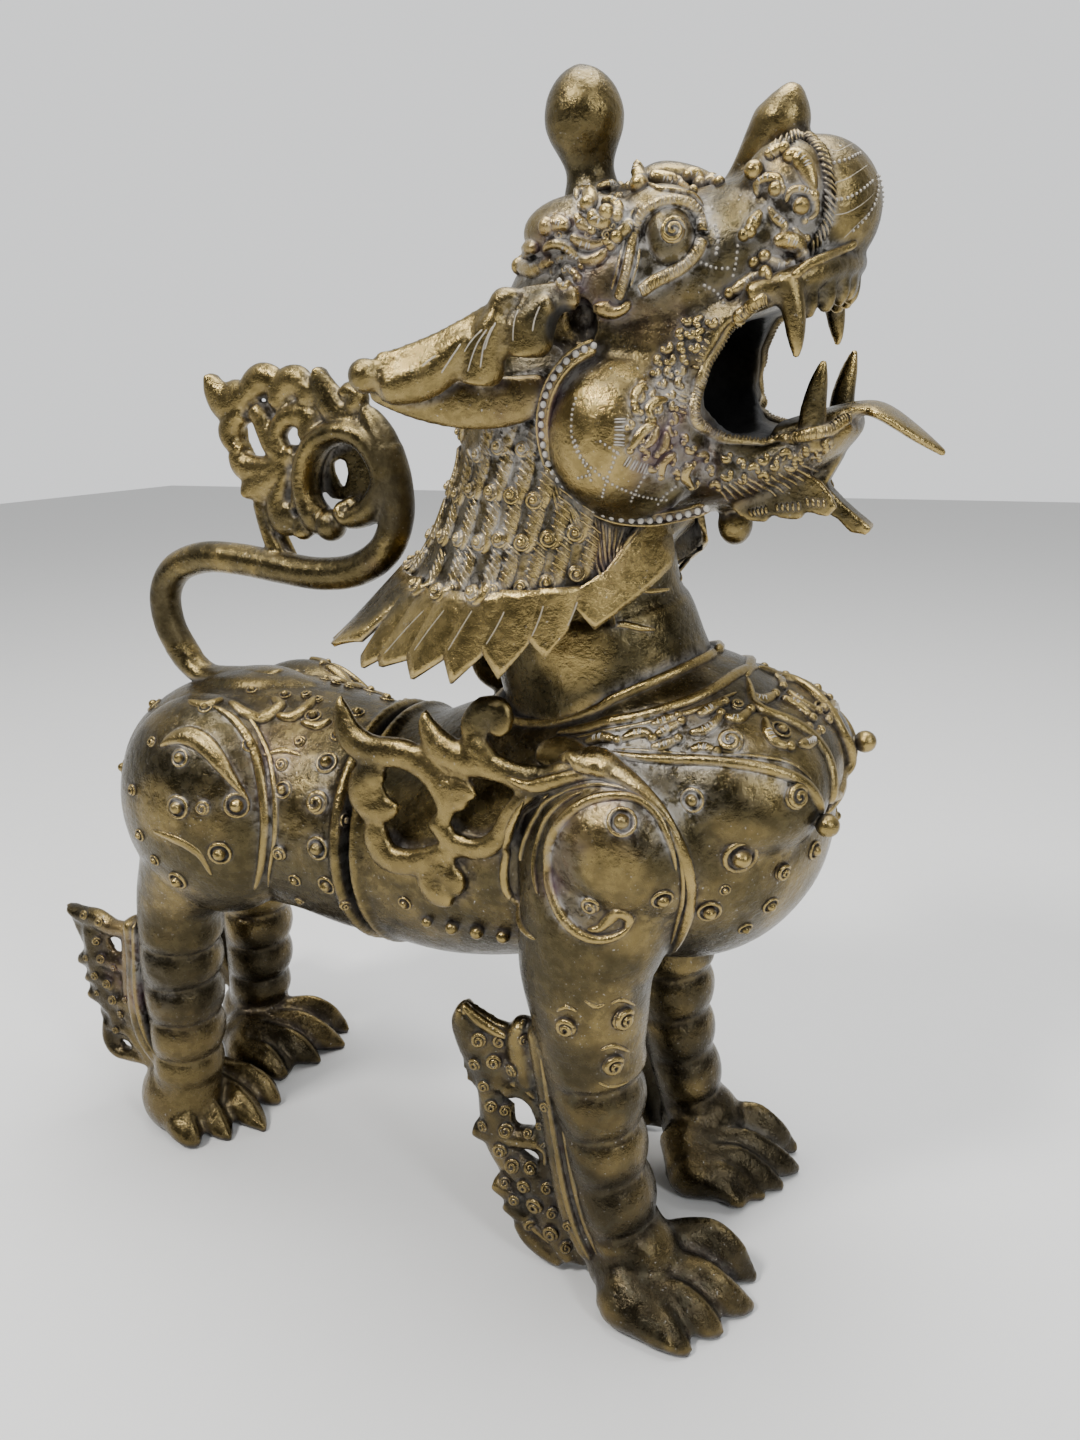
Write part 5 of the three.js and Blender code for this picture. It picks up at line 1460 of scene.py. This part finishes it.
# The ear lies in a plane that leans out from the head: y, lean and the x it leans about
EAR_PLANE = (-62, 0.28, 76)
EAR_STRANDS = [
    ([(582, 300, 3), (560, 298, 4), (535, 306, 5.6), (508, 320, 6.6), (480, 338, 7), (450, 354, 7), (420, 367, 7),
      (395, 376, 7.2), (374, 378, 7.6)], 3.4),
    ([(556, 300, 3), (541, 312, 5.6), (531, 328, 6.8), (527, 344, 7.2), (526, 358, 5.2)], 7.4),
    ([(503, 314, 3), (491, 334, 5.4), (484, 354, 6.4), (481, 372, 6.8), (480, 386, 4.8)], 6.8),
    ([(472, 336, 2.6), (456, 352, 5), (440, 366, 6.2), (420, 378, 6.4), (400, 384, 6), (383, 386, 5)], 6),
    ([(520, 296, 2), (505, 302, 4), (498, 314, 3)], 5),
]
EAR_BACK = [(552, 384, 4), (528, 397, 6.4), (492, 403, 7.4), (456, 404, 7), (420, 401, 5.6), (390, 395, 4), (370, 388, 3)]
EAR_TIP = (365, 376, 6.4)
EAR_HOLE = ((80.5, -56, 427), (7.4, 16, 10.4))
EAR_RIBS = [
    [(541, 304), (535, 318), (532, 334)], [(519, 308), (514, 322), (513, 344)],
    [(497, 320), (489, 336), (484, 352)], [(494, 324), (484, 345), (480, 370)],
    [(488, 328), (476, 346), (467, 374)], [(484, 328), (472, 340), (463, 354)],
    [(462, 342), (451, 358), (440, 375)], [(438, 354), (428, 361), (420, 368)],
]
UPPER_LID = [(618, 300), (623, 284), (628, 264), (632, 244), (638, 224), (646, 210), (660, 203), (677, 201),
             (691, 206), (700, 218), (703, 232)]
LOWER_LID = [(702, 240), (697, 252), (686, 264), (670, 274), (654, 282), (640, 292)]
BROW_BANDS = [
    ([(634, 208), (627, 226), (622, 250), (617, 272), (611, 292)], 0.7, 1.2),
    ([(640, 246), (638, 262), (634, 276), (630, 288)], 0.7, 1.2),
    ([(596, 198), (616, 193), (634, 190), (654, 187), (676, 191), (694, 196), (704, 206)], 0.9, 1.4),
    ([(632, 300), (623, 309), (612, 312), (602, 307), (600, 300)], (1.4, 2.2, 2.8, 4, 2.8), 3.2),
]
EYE_AT, EYE_RADII = (670, 238), (8.4, 11, 6.6)
PUPIL_AT, PUPIL_RADIUS = (673, 230), 5.2
# Scrolls of the temple and the brow: pixels, half width and height
TEMPLE_SCROLLS = [
    ([(596, 189), (612, 186), (630, 187)], (1.2, 2.6, 1.2), 2.2), ([(644, 168), (642, 180), (640, 188)], (1, 3, 3), 4.4),
    ([(648, 178), (664, 180), (680, 184), (692, 192)], (3.2, 3.4, 2.8, 1), 3.2),
    ([(684, 182), (690, 175), (698, 178), (699, 186)], (1.6, 3, 3, 2), 3),
    ([(704, 186), (712, 179), (720, 184)], (1.4, 2.6, 1.6), 2.4),
    ([(577, 200), (582, 192), (590, 196), (588, 206)], (1.6, 2.8, 3, 2.4), 3),
    ([(592, 210), (594, 220), (604, 222), (606, 214)], (1.6, 3, 3, 2.4), 3),
    ([(601, 204), (610, 202), (618, 208), (616, 217)], (1.2, 2, 2.4, 2), 2.6),
    ([(634, 220), (626, 228), (616, 236)], (1.4, 3.6, 2), 3),
    ([(576, 214), (582, 224), (592, 230)], (1.2, 2.6, 1.4), 2.4),
    ([(571, 227), (559, 224), (549, 227)], (1.6, 3.4, 2.8), 3.4),
    ([(571, 234), (580, 241), (594, 244), (606, 240)], (1.4, 2.6, 2.6, 1.2), 2.6),
    ([(544, 250), (553, 243), (566, 245), (577, 254), (588, 261), (600, 257), (611, 245)],
     (1.2, 2.2, 2.2, 2.2, 2.6, 2.6, 1.2), 3.2),
    ([(540, 250), (530, 247), (523, 254), (524, 263)], (1.4, 2.8, 2.8, 2), 3.4),
    ([(556, 256), (546, 264), (534, 270), (522, 268)], (1.6, 3.2, 3.4, 2.6), 3.8),
    ([(553, 276), (554, 264), (564, 256), (576, 258), (582, 267)], (1, 1.6, 1.8, 1.6, 1), 2),
    ([(568, 270), (575, 272), (579, 279)], (1, 2, 1.6), 2.4),
    ([(548, 282), (562, 286), (578, 288)], (0.8, 1.8, 0.8), 1.6),
]
# The field of small leaf curls between the mouth and the cheek: its two borders, then its big leaves
CURL_FIELD = (
    [(722, 318), (700, 345), (688, 372), (681, 400), (683, 427), (702, 446), (744, 456), (790, 451), (834, 439)],
    [(688, 316), (664, 345), (644, 376), (628, 405), (626, 440), (652, 474), (702, 490), (762, 478), (818, 458)],
)
FIELD_ROWS, FIELD_COLUMNS = 3, 19
CHEEK_LEAVES = [
    [(656, 424), (642, 432), (630, 450)], [(656, 424), (652, 438), (642, 448)], [(664, 430), (664, 444), (656, 454)],
    [(668, 400), (656, 402), (648, 410), (652, 420)], [(646, 384), (636, 394), (634, 404)],
    [(676, 452), (662, 462), (660, 476)], [(692, 462), (684, 474), (690, 486)],
]
# The cheek's beaded band: pixels and the y at which it stands
CHEEK_BAND = [
    (596, 346, -52), (582, 352, -55), (568, 362, -57), (557, 376, -58), (550, 390, -58), (546, 404, -57.5),
    (544, 418, -57), (544, 433, -56), (547, 450, -55), (553, 468, -53), (562, 482, -51), (574, 494, -49),
    (588, 504, -47.5), (604, 512, -46), (620, 517, -45), (637, 519, -44), (655, 519, -43), (674, 516, -42),
    (692, 512, -41), (709, 507, -40),
]
TEMPLE_CURLS = [
    (560, 234, 2.6), (530, 258, 2.6), (544, 262, 2.2), (589, 234, 2.2), (606, 234, 2.4), (590, 222, 2.4),
    (583, 206, 2.6), (618, 196, 2.2), (567, 270, 2.6), (655, 182, 2.4), (674, 184, 2.2), (612, 226, 2.2),
    (596, 252, 2.2), (538, 272, 2.2),
]
CHEEK_LATTICE = [
    [(575, 440), (582, 458), (596, 472), (612, 484), (630, 492), (650, 498), (668, 500)],
    [(576, 398), (572, 416), (572, 436), (577, 452), (588, 470), (592, 484)],
    [(617, 452), (612, 466), (606, 482), (602, 498)], [(650, 468), (642, 480), (634, 494), (630, 503)],
    [(676, 486), (664, 496), (658, 504)], [(600, 441), (610, 448), (620, 455)], [(578, 478), (592, 474)],
    [(700, 262), (716, 268), (730, 268)], [(704, 285), (716, 292), (724, 304)], [(738, 245), (736, 262), (733, 276)],
    [(715, 225), (718, 240), (716, 256)],
]
CHEEK_HATCH = [[(620, 416), (620, 430), (619, 446)], [(624, 460), (636, 466), (650, 470)]]
MOUTH_ROPE = [(768, 298), (756, 304), (743, 313), (732, 324), (722, 338), (712, 354), (703, 374), (697, 392),
              (694, 410), (698, 423), (708, 432), (728, 440), (752, 443), (776, 441), (797, 437), (815, 433),
              (832, 428), (848, 419)]
NOSE_ROPE = [(770, 156), (778, 147), (790, 140), (804, 140), (816, 148), (824, 163), (828, 182), (829, 203),
             (826, 222), (818, 238), (808, 250)]
VOLUTE_SCROLLS = [
    ([(782, 160), (794, 156), (804, 164), (810, 180), (812, 196)], (1.6, 3.2, 3.4, 2.8, 1.4), 3),
    ([(786, 204), (790, 192), (802, 190), (813, 198), (814, 212), (804, 220)], (1, 1.6, 1.8, 1.8, 1.6, 1), 2.6),
    ([(758, 198), (758, 184), (766, 178), (778, 180), (782, 190)], (1, 1.8, 2, 2, 1.2), 2.4),
    ([(766, 160), (774, 152), (784, 150)], (1.6, 3, 1.6), 3),
    ([(768, 206), (774, 216), (784, 226), (780, 238)], (1, 2, 2, 1), 2.2),
    ([(762, 212), (754, 222), (750, 232)], (1.2, 2.8, 2), 3), ([(792, 226), (798, 236), (806, 238)], (1, 2, 1.2), 2.2),
    ([(772, 244), (784, 240), (796, 244), (800, 254)], (1.6, 3.6, 4, 2), 3.6),
    ([(796, 262), (784, 266), (772, 264), (764, 256)], (1.6, 3.4, 3.4, 1.6), 3.2),
    ([(770, 280), (764, 268), (754, 262)], (1.2, 2.8, 1.6), 2.6),
    ([(768, 272), (754, 278), (742, 286), (730, 294)], (1.4, 3, 3, 1.4), 3.2),
]
VOLUTE_KNOBS = [(757, 172, 3.4), (800, 206, 3), (776, 190, 2.6), (744, 236, 2.2), (766, 276, 2.4)]
LIP_RIDGE = [(792, 278), (806, 266), (824, 258), (842, 250), (857, 242)]
NOSE_LINES = [
    [(834, 183), (850, 177), (869, 164)], [(831, 215), (846, 213), (861, 205), (876, 191)],
    [(842, 240), (856, 226), (870, 212), (880, 198)], [(824, 147), (840, 150), (856, 144)],
]
NOSE_BEADS = [
    [(834, 163), (848, 159), (861, 153)], [(836, 200), (852, 196), (864, 188), (873, 180)],
    [(877, 175), (878, 191), (872, 208), (862, 222), (850, 233)],
]
JAW_HAIR = [
    ([(716, 486), (744, 476)], [(730, 502), (770, 490)], 6), ([(752, 478), (800, 464)], [(778, 498), (820, 474)], 7),
    ([(774, 454), (810, 446)], [(764, 468), (804, 458)], 6), ([(712, 345), (702, 368)], [(702, 338), (690, 366)], 5),
    ([(690, 398), (690, 414)], [(676, 394), (674, 410)], 4),
]
FRINGE_HAIR = [
    ([(748, 508), (765, 504)], [(753, 518), (767, 516)], 5), ([(776, 502), (798, 500)], [(778, 513), (799, 513)], 5),
    ([(806, 496), (824, 498)], [(809, 508), (824, 509)], 4),
]
FAR_FRINGE = Matrix.Translation(X * -9) @ Matrix.Diagonal((1, -1, 1, 1))
TONGUE = [(140, 0, 384, 16, 3), (158, 0, 389, 15, 3), (172, 0, 392, 11, 2.6), (180, 0, 390, 13, 2.6),
          (192, 0, 382, 9, 2.2), (202, 0, 375, 1.5, 1.2)]
CHIN = [
    (122, 372), (150, 376), (166, 375), (160, 364), (167, 357), (178, 348), (176, 345.5), (170, 346), (164, 352),
    (152, 356), (136, 356), (118, 356),
]
# The fringe under the jaw's near side, in pixels
FRINGE = [
    (730, 486), (770, 482), (806, 472), (821, 480), (832, 494), (838, 508), (831, 513), (829, 518), (821, 515),
    (805, 512), (801, 520), (789, 520), (772, 515), (766, 523), (752, 521), (743, 517), (732, 508),
]
CREST = [(84, 0, 470, 10, 4), (94, 0, 476, 11, 5), (106, 0, 475, 7, 4), (114, 0, 472, 3, 3)]


def refine_profile(profile, steps):
    return [tuple(along(profile, step / steps)) for step in range(steps + 1)]


def tusk(shape, foot, tip, radius):
    foot, tip = Vector(foot), Vector(tip)
    bow = (tip - foot).cross(Y).normalized() * radius * 0.25
    limb(shape, [(*foot, radius, radius), (*(foot.lerp(tip, 0.4) + bow), radius * 0.86, radius * 0.86),
                 (*(foot.lerp(tip, 0.75) + bow * 0.6), radius * 0.6, radius * 0.6),
                 (*tip, radius * 0.22, radius * 0.22)], sides=16, steps=20)


def ear(shape):
    """A folded ear: lobes on a leaf, with the hollow in front of them"""
    for knots, thick in EAR_STRANDS:
        planar(shape, HEAD_SIGHT, knots, EAR_PLANE, thick=thick, sides=18)
    back = (EAR_PLANE[0] + 11, *EAR_PLANE[1:])
    planar(shape, HEAD_SIGHT, EAR_BACK, back, thick=4, sides=18)
    u, v, radius = EAR_TIP
    ball(shape, HEAD_SIGHT.on_side(u, v, *EAR_PLANE), (radius,) * 3, 20, 14)


def cheek_band(shape):
    """The beaded band that runs round behind the cheek, clear of the skin"""
    knots = [HEAD_SIGHT.on_side(u, v, y) for u, v, y in CHEEK_BAND]
    steps = 260
    track, rims = [], ([], [])
    for step in range(steps + 1):
        place = along(knots, step / steps)
        away = place - CHEEK_CENTRE
        away = Vector((away.x, 0, away.z)).normalized()
        out = (away * 0.5 - Y).normalized()
        track.append((place, out))
        for rim, shift in zip(rims, (-2.6, 1.6)):
            rim.append((place + away * shift + out * 0.8, out))
    strip(shape, track[::3], 2.7, 1.6, sides=10, head=0.02, tail=0.05)
    for rim in rims:
        strip(shape, rim[::3], 0.7, 1.5, sides=8, head=0.02, tail=0.05)
    beads(shape, [(place + (place - CHEEK_CENTRE).normalized() * -0.6 + out * 1.5, out) for place, out in track],
          1.3, 3.6, 0.8)


def leaf_curls(shape, skin):
    """Small leaves in rows that turn this way and that, each ending in a curl"""
    inner, outer = CURL_FIELD
    for column in range(FIELD_COLUMNS):
        s = (column + 0.5) / FIELD_COLUMNS
        for row in range(FIELD_ROWS):
            t = (row + 0.5 + 0.2 * math.sin(column * 2.3 + row)) / FIELD_ROWS
            centre = along(inner, s).lerp(along(outer, s), t)
            run = (along(inner, min(s + 0.02, 1)) - along(inner, max(s - 0.02, 0))).normalized()
            side = Vector((-run.y, run.x))
            way = 1 if (column + row) % 2 else -1
            reach = 5.4 + 1.2 * math.sin(column * 1.7 + row * 2.1)
            points = [centre - run * reach - side * way * 1.5, centre + side * way * 2.4,
                      centre + run * reach * 0.7 + side * way * 1.2, centre + run * reach * 0.8 - side * way * 2.6]
            scroll(shape, skin, [tuple(point) for point in points], (0.6, 1.7, 1.6, 0.9), 2, hatch=False)


def eye(shape, skin):
    place, normal = skin.seen(*EYE_AT)
    part = new_shape()
    ball(part, place, EYE_RADII, 28, 18, facing(normal, Vector((-0.25, 0, 1))))
    iris = Skin(part, HEAD_SIGHT)
    place, normal = iris.seen(*PUPIL_AT)
    spiral(part, place - normal * 0.8, normal, PUPIL_RADIUS, 2.6, thread=1.0, turns=2)
    add(shape, part)


def head_relief(shape):
    skin = Skin(shape, HEAD_SIGHT)
    relief = new_shape()
    eye(relief, skin)
    cord(relief, skin, UPPER_LID, 2.1, 2.6, 1.7)
    cord(relief, skin, LOWER_LID, 2.7, 2.8, 1.7)
    cord(relief, skin, MOUTH_ROPE, 2.6, 2.2, 1.5)
    track = skin.track(NOSE_ROPE, 0.5)
    strip(relief, track, 1.6, 1.6)
    ribs(relief, track, 3, 1.9, 0.62, 1.3, 0.9, 1.6)
    for points, width, height in BROW_BANDS:
        band(relief, skin, points, width, height)
    for points, width, height in TEMPLE_SCROLLS + VOLUTE_SCROLLS:
        scroll(relief, skin, points, width, height)
    for points in CHEEK_LEAVES:
        scroll(relief, skin, points, (0.8, 2.4, 2.2, 1), 2.6, hatch=False)
    leaf_curls(relief, skin)
    curls(relief, skin, TEMPLE_CURLS)
    for u, v, radius in VOLUTE_KNOBS:
        knob(relief, skin, (u, v), radius)
    band(relief, skin, LIP_RIDGE, 1.7, 2.2)
    for points in EAR_RIBS:
        band(relief, skin, points, 0.36, 0.5, sides=6, white=0.6)
    for points in NOSE_LINES:
        band(relief, skin, points, 0.34, 0.4, sides=6, white=0.5)
    cheek_band(relief)
    for points in CHEEK_LATTICE + NOSE_BEADS:
        beads(relief, skin.track(points, 0.4), 0.5, 1.9, 0.6)
    for points in CHEEK_HATCH:
        ribs(relief, skin.track(points, 0.5), 2, 1.3, 0.3, 0.5, white=0.7)
    for first, last, count in JAW_HAIR:
        hair(relief, skin, first, last, count)
    fringe = new_shape()
    for first, last, count in FRINGE_HAIR:
        hair(fringe, skin, first, last, count)
    add_both(shape, relief)
    add(shape, fringe)
    add(shape, fringe, FAR_FRINGE)


def head_skin():
    flesh = new_shape()
    limb(flesh, CRANIUM, sides=48, steps=40)
    limb(flesh, JAW, sides=48, steps=32)
    limb(flesh, FACE, sides=48, steps=24)
    cheek = new_shape()
    ball(cheek, CHEEK_CENTRE, CHEEK_RADII, sides=48, rings=32)
    ball(cheek, CHEEK_CENTRE, CHEEK_FLANGE_RADII, sides=48, rings=24)
    add_both(flesh, cheek)
    flesh = fused(flesh, 1.6)
    mouth = new_shape()
    slab(mouth, MOUTH, 200)
    throat = new_shape()
    ball(throat, THROAT_CENTRE, THROAT_RADII)
    holes = new_shape()
    ball(holes, *EAR_HOLE)
    both = new_shape()
    add_both(both, holes)
    shape = carved(carved(carved(flesh, mouth), throat), both)
    lathe(shape, refine_profile(CROWN_HORN, 60),
          Matrix.Translation((67.5, 0, 469)) @ Matrix.Rotation(math.radians(-5), 4, "Y"))
    limb(shape, NOSE_HORN, sides=32, steps=30, tail=0.06)
    ball(shape, NOSE_BALL, (NOSE_RADIUS,) * 3, sides=64, rings=48)
    limb(shape, LIP, sides=20, steps=60, side=Z)
    right = new_shape()
    ear(right)
    ball(right, (145, -18, 463), (16, 12, 19))
    ball(right, (78, -38, 458), (22, 13, 12))
    ball(right, (104, -30, 461), (16, 13, 10))
    for place, radii in FRONT_TEETH:
        ball(right, place, radii, 16, 12)
    tusk(right, (150, -33, 438), (155, -36, 412), 5)
    tusk(right, (159, -26, 380), (163, -29, 411), 5.6)
    add_both(shape, right)
    fringe = new_shape()
    plate(fringe, HEAD_SIGHT, FRINGE, [], -21, 4)
    add(shape, fringe)
    add(shape, fringe, FAR_FRINGE)
    limb(shape, TONGUE, sides=32, steps=40, head=0.05)
    chin = new_shape()
    slab(chin, CHIN, 9)
    add(shape, chin)
    ball(shape, (124, 0, 348), (7, 8, 9))
    limb(shape, CREST, sides=24, steps=24, head=0.1)
    skin = fused(shape, 1.35)
    head_relief(skin)
    return skin


# Stage
def light(name, place, aim, size, power, colour=(1, 1, 1)):
    data = bpy.data.lights.new(name, "AREA")
    data.shape = "RECTANGLE"
    data.size, data.size_y = size
    data.energy, data.color = power, colour
    lamp = bpy.data.objects.new(name, data)
    lamp.location = place
    lamp.rotation_mode = "QUATERNION"
    lamp.rotation_quaternion = (Vector(aim) - Vector(place)).to_track_quat("-Z", "Y")
    bpy.context.scene.collection.objects.link(lamp)


def plain(name, colour, roughness):
    r = Recipe(name)
    where = r.add("ShaderNodeTexCoord").outputs["Object"]
    grain = r.noise(where, 60.0, 3.0)
    tone = r.mix(grain, (*(c * 0.97 for c in colour), 1), (*colour, 1))
    shader = r.add("ShaderNodeBsdfPrincipled", {"Base Color": tone, "Roughness": roughness})
    r.add("ShaderNodeOutputMaterial", {"Surface": shader.outputs["BSDF"]})
    return r.material


def studio_air(strength):
    """A pale room that is open, and so darker, on the side that the photograph was taken from"""
    world = bpy.data.worlds.new("studio")
    world.use_nodes = True
    r = Recipe.__new__(Recipe)
    r.tree = world.node_tree
    r.tree.nodes.clear()
    way = r.add("ShaderNodeTexCoord").outputs["Generated"]
    away = r.add("ShaderNodeVectorMath", {0: way, 1: ROOM_BACK}, operation="DOT_PRODUCT").outputs["Value"]
    height = r.add("ShaderNodeSeparateXYZ", {"Vector": way}).outputs["Z"]
    walls = r.reach(away, -0.35, 0.45, 0.13, 0.85)
    roof = r.reach(height, 0.45, 0.9, 0.0, 0.5)
    lit = r.math("MULTIPLY", r.math("ADD", walls, roof), strength)
    seen = r.add("ShaderNodeLightPath").outputs["Is Camera Ray"]
    level = r.add("ShaderNodeMix", {0: seen, 2: lit, 3: strength * 1.25}).outputs[0]
    back = r.add("ShaderNodeBackground", {"Color": (0.92, 0.93, 0.94, 1), "Strength": level})
    r.add("ShaderNodeOutputWorld", {"Surface": back.outputs["Background"]})
    return world


class LionFinish(PropertyGroup):
    # Gold is also the painted sheen in the places that are marked as rubbed
    gold: FloatVectorProperty(
        name="Gold", description="Brass where it is rubbed bright", subtype="COLOR", default=(0.62, 0.45, 0.16))
    olive: FloatVectorProperty(
        name="Olive", description="Brass under its usual patina", subtype="COLOR", default=(0.066, 0.052, 0.022))
    warm: FloatVectorProperty(
        name="Warm brass", description="Brass that is handled now and then", subtype="COLOR",
        default=(0.13, 0.101, 0.039))
    # Umber is also the colour of the painted shade that darkens whole pieces and the underside of the jaw
    umber: FloatVectorProperty(
        name="Umber", description="Darker brass towards the feet", subtype="COLOR",
        default=(0.034, 0.027, 0.016))
    # The recess colour is old dirt in the crevices and also painted shade in the crevices and the hollows
    recess_dirt_and_shade: FloatVectorProperty(
        name="Recess", description="Old dirt in the hollows", subtype="COLOR", default=(0.011, 0.009, 0.006))
    chalk: FloatVectorProperty(
        name="Chalk", description="Pale residue in the ornament", subtype="COLOR", default=(0.54, 0.52, 0.49))
    rouge: FloatVectorProperty(
        name="Rouge", description="Purple residue of old polish", subtype="COLOR",
        default=(0.11, 0.055, 0.07))
    verdigris: FloatVectorProperty(
        name="Verdigris", description="Green corrosion low on the legs", subtype="COLOR",
        default=(0.028, 0.04, 0.03))


class LionForm(PropertyGroup):
    grain: FloatProperty(
        name="Grain", description="Size of the cells a skin is cast from, in millimetres", default=1.6,
        min=0.8, max=4.0)


class LionStage(PropertyGroup):
    floor_size: FloatProperty(
        name="Floor size", description="Width of the floor", default=8.0, unit="LENGTH")
    floor_colour: FloatVectorProperty(
        name="Floor colour", description="Pale floor", subtype="COLOR", default=(0.8, 0.8, 0.79))
    air: FloatProperty(name="Air", description="Strength of the light from all round", default=0.95)


class LION_OT_stage(Operator):
    """Makes the floor, the soft lights and the photograph's camera"""
    bl_idname = "lion.stage"
    bl_label = "Stage"

    def execute(self, context):
        settings = context.scene.lion_stage
        shape = bmesh.new()
        bmesh.ops.create_grid(shape, x_segments=4, y_segments=4, size=settings.floor_size / 2)
        mesh = bpy.data.meshes.new("floor")
        shape.to_mesh(mesh)
        shape.free()
        mesh.materials.append(plain("floor_paper", settings.floor_colour, 0.75))
        floor = bpy.data.objects.new("floor", mesh)
        context.scene.collection.objects.link(floor)

        context.scene.world = studio_air(settings.air)
        light("key", (-0.5, -1.3, 1.9), (0, 0, 0.25), (0.36, 0.36), 36, (1, 0.98, 0.95))
        light("fill", (1.6, -0.9, 1.2), (0, 0, 0.25), (0.3, 0.7), 14, (0.96, 0.98, 1))
        light("top", (0.1, 0.2, 1.7), (0, 0, 0.2), (0.9, 0.9), 24)

        data = bpy.data.cameras.new("camera")
        data.sensor_width = 36
        data.lens = FOCAL_PX * data.sensor_width / PHOTO_SIZE[1]
        data.clip_start, data.clip_end = 0.02, 50
        camera = bpy.data.objects.new("camera", data)
        camera.rotation_mode = "QUATERNION"
        camera.location = TO_FRAME @ CAMERA_AT
        camera.rotation_quaternion = CAMERA_TURN.to_quaternion()
        context.scene.collection.objects.link(camera)
        context.scene.camera = camera
        return {"FINISHED"}


class LION_OT_front_body(Operator):
    """Makes the front half: chest, forelegs, shoulder bosses and flame wings"""
    bl_idname = "lion.front_body"
    bl_label = "Front body"

    def execute(self, context):
        finished("front_skin", front_skin(), "front_body", context.scene["body_brass"],
                 spots=FRONT_SPOTS)
        return {"FINISHED"}


class LION_OT_rear_body(Operator):
    """Makes the rear half: barrel, haunches and hind legs"""
    bl_idname = "lion.rear_body"
    bl_label = "Rear body"

    def execute(self, context):
        finished("rear_skin", rear_skin(), "rear_body", context.scene["body_brass"],
                 spots=REAR_SPOTS)
        return {"FINISHED"}


class LION_OT_tail(Operator):
    """Makes the tail with its flame"""
    bl_idname = "lion.tail"
    bl_label = "Tail"

    def execute(self, context):
        finished("tail_bar", tail_skin(), "tail", context.scene["tail_brass"], spots=TAIL_SPOTS)
        return {"FINISHED"}


class LION_OT_mane(Operator):
    """Makes the neck and the mane round it"""
    bl_idname = "lion.mane"
    bl_label = "Mane"

    def execute(self, context):
        finished("mane_skin", mane_skin(), "head", context.scene["body_brass"], HEAD_TURN,
                 MANE_SPOTS)
        return {"FINISHED"}


class LION_OT_head(Operator):
    """Makes the head: skull, jaws, horns, ears and teeth"""
    bl_idname = "lion.head"
    bl_label = "Head"

    def execute(self, context):
        finished("head_skin", head_skin(), "head", context.scene["body_brass"], HEAD_TURN,
                 HEAD_SPOTS)
        return {"FINISHED"}


class LION_OT_patina(Operator):
    """Makes the brass finishes"""
    bl_idname = "lion.patina"
    bl_label = "Patina"

    def execute(self, context):
        finish = context.scene.lion_finish
        context.scene["body_brass"] = brass("body_brass", finish.warm)
        context.scene["tail_brass"] = brass("tail_brass", finish.warm, 0.3)
        return {"FINISHED"}


class LION_PT_panel(Panel):
    """The lion's sizes and pieces"""
    bl_idname = "LION_PT_panel"
    bl_label = "Guardian Lion"
    bl_space_type = "VIEW_3D"
    bl_region_type = "UI"
    bl_category = "Lion"

    def draw(self, context):
        for group in (context.scene.lion_form, context.scene.lion_finish, context.scene.lion_stage):
            for key in group.__annotations__:
                self.layout.prop(group, key)
        for operator in OPERATORS:
            self.layout.operator(operator.bl_idname)


OPERATORS = (
    LION_OT_stage, LION_OT_patina, LION_OT_front_body, LION_OT_rear_body, LION_OT_tail, LION_OT_mane,
    LION_OT_head,
)
CLASSES = (LionFinish, LionForm, LionStage, *OPERATORS, LION_PT_panel)


def register():
    for cls in CLASSES:
        bpy.utils.register_class(cls)
    bpy.types.Scene.lion_finish = PointerProperty(type=LionFinish)
    bpy.types.Scene.lion_form = PointerProperty(type=LionForm)
    bpy.types.Scene.lion_stage = PointerProperty(type=LionStage)


def unregister():
    del bpy.types.Scene.lion_stage, bpy.types.Scene.lion_form, bpy.types.Scene.lion_finish
    for cls in reversed(CLASSES):
        bpy.utils.unregister_class(cls)


def main():
    register()
    for operator in OPERATORS:
        area, _, name = operator.bl_idname.partition(".")
        getattr(getattr(bpy.ops, area), name)()


if __name__ == "__main__":
    main()
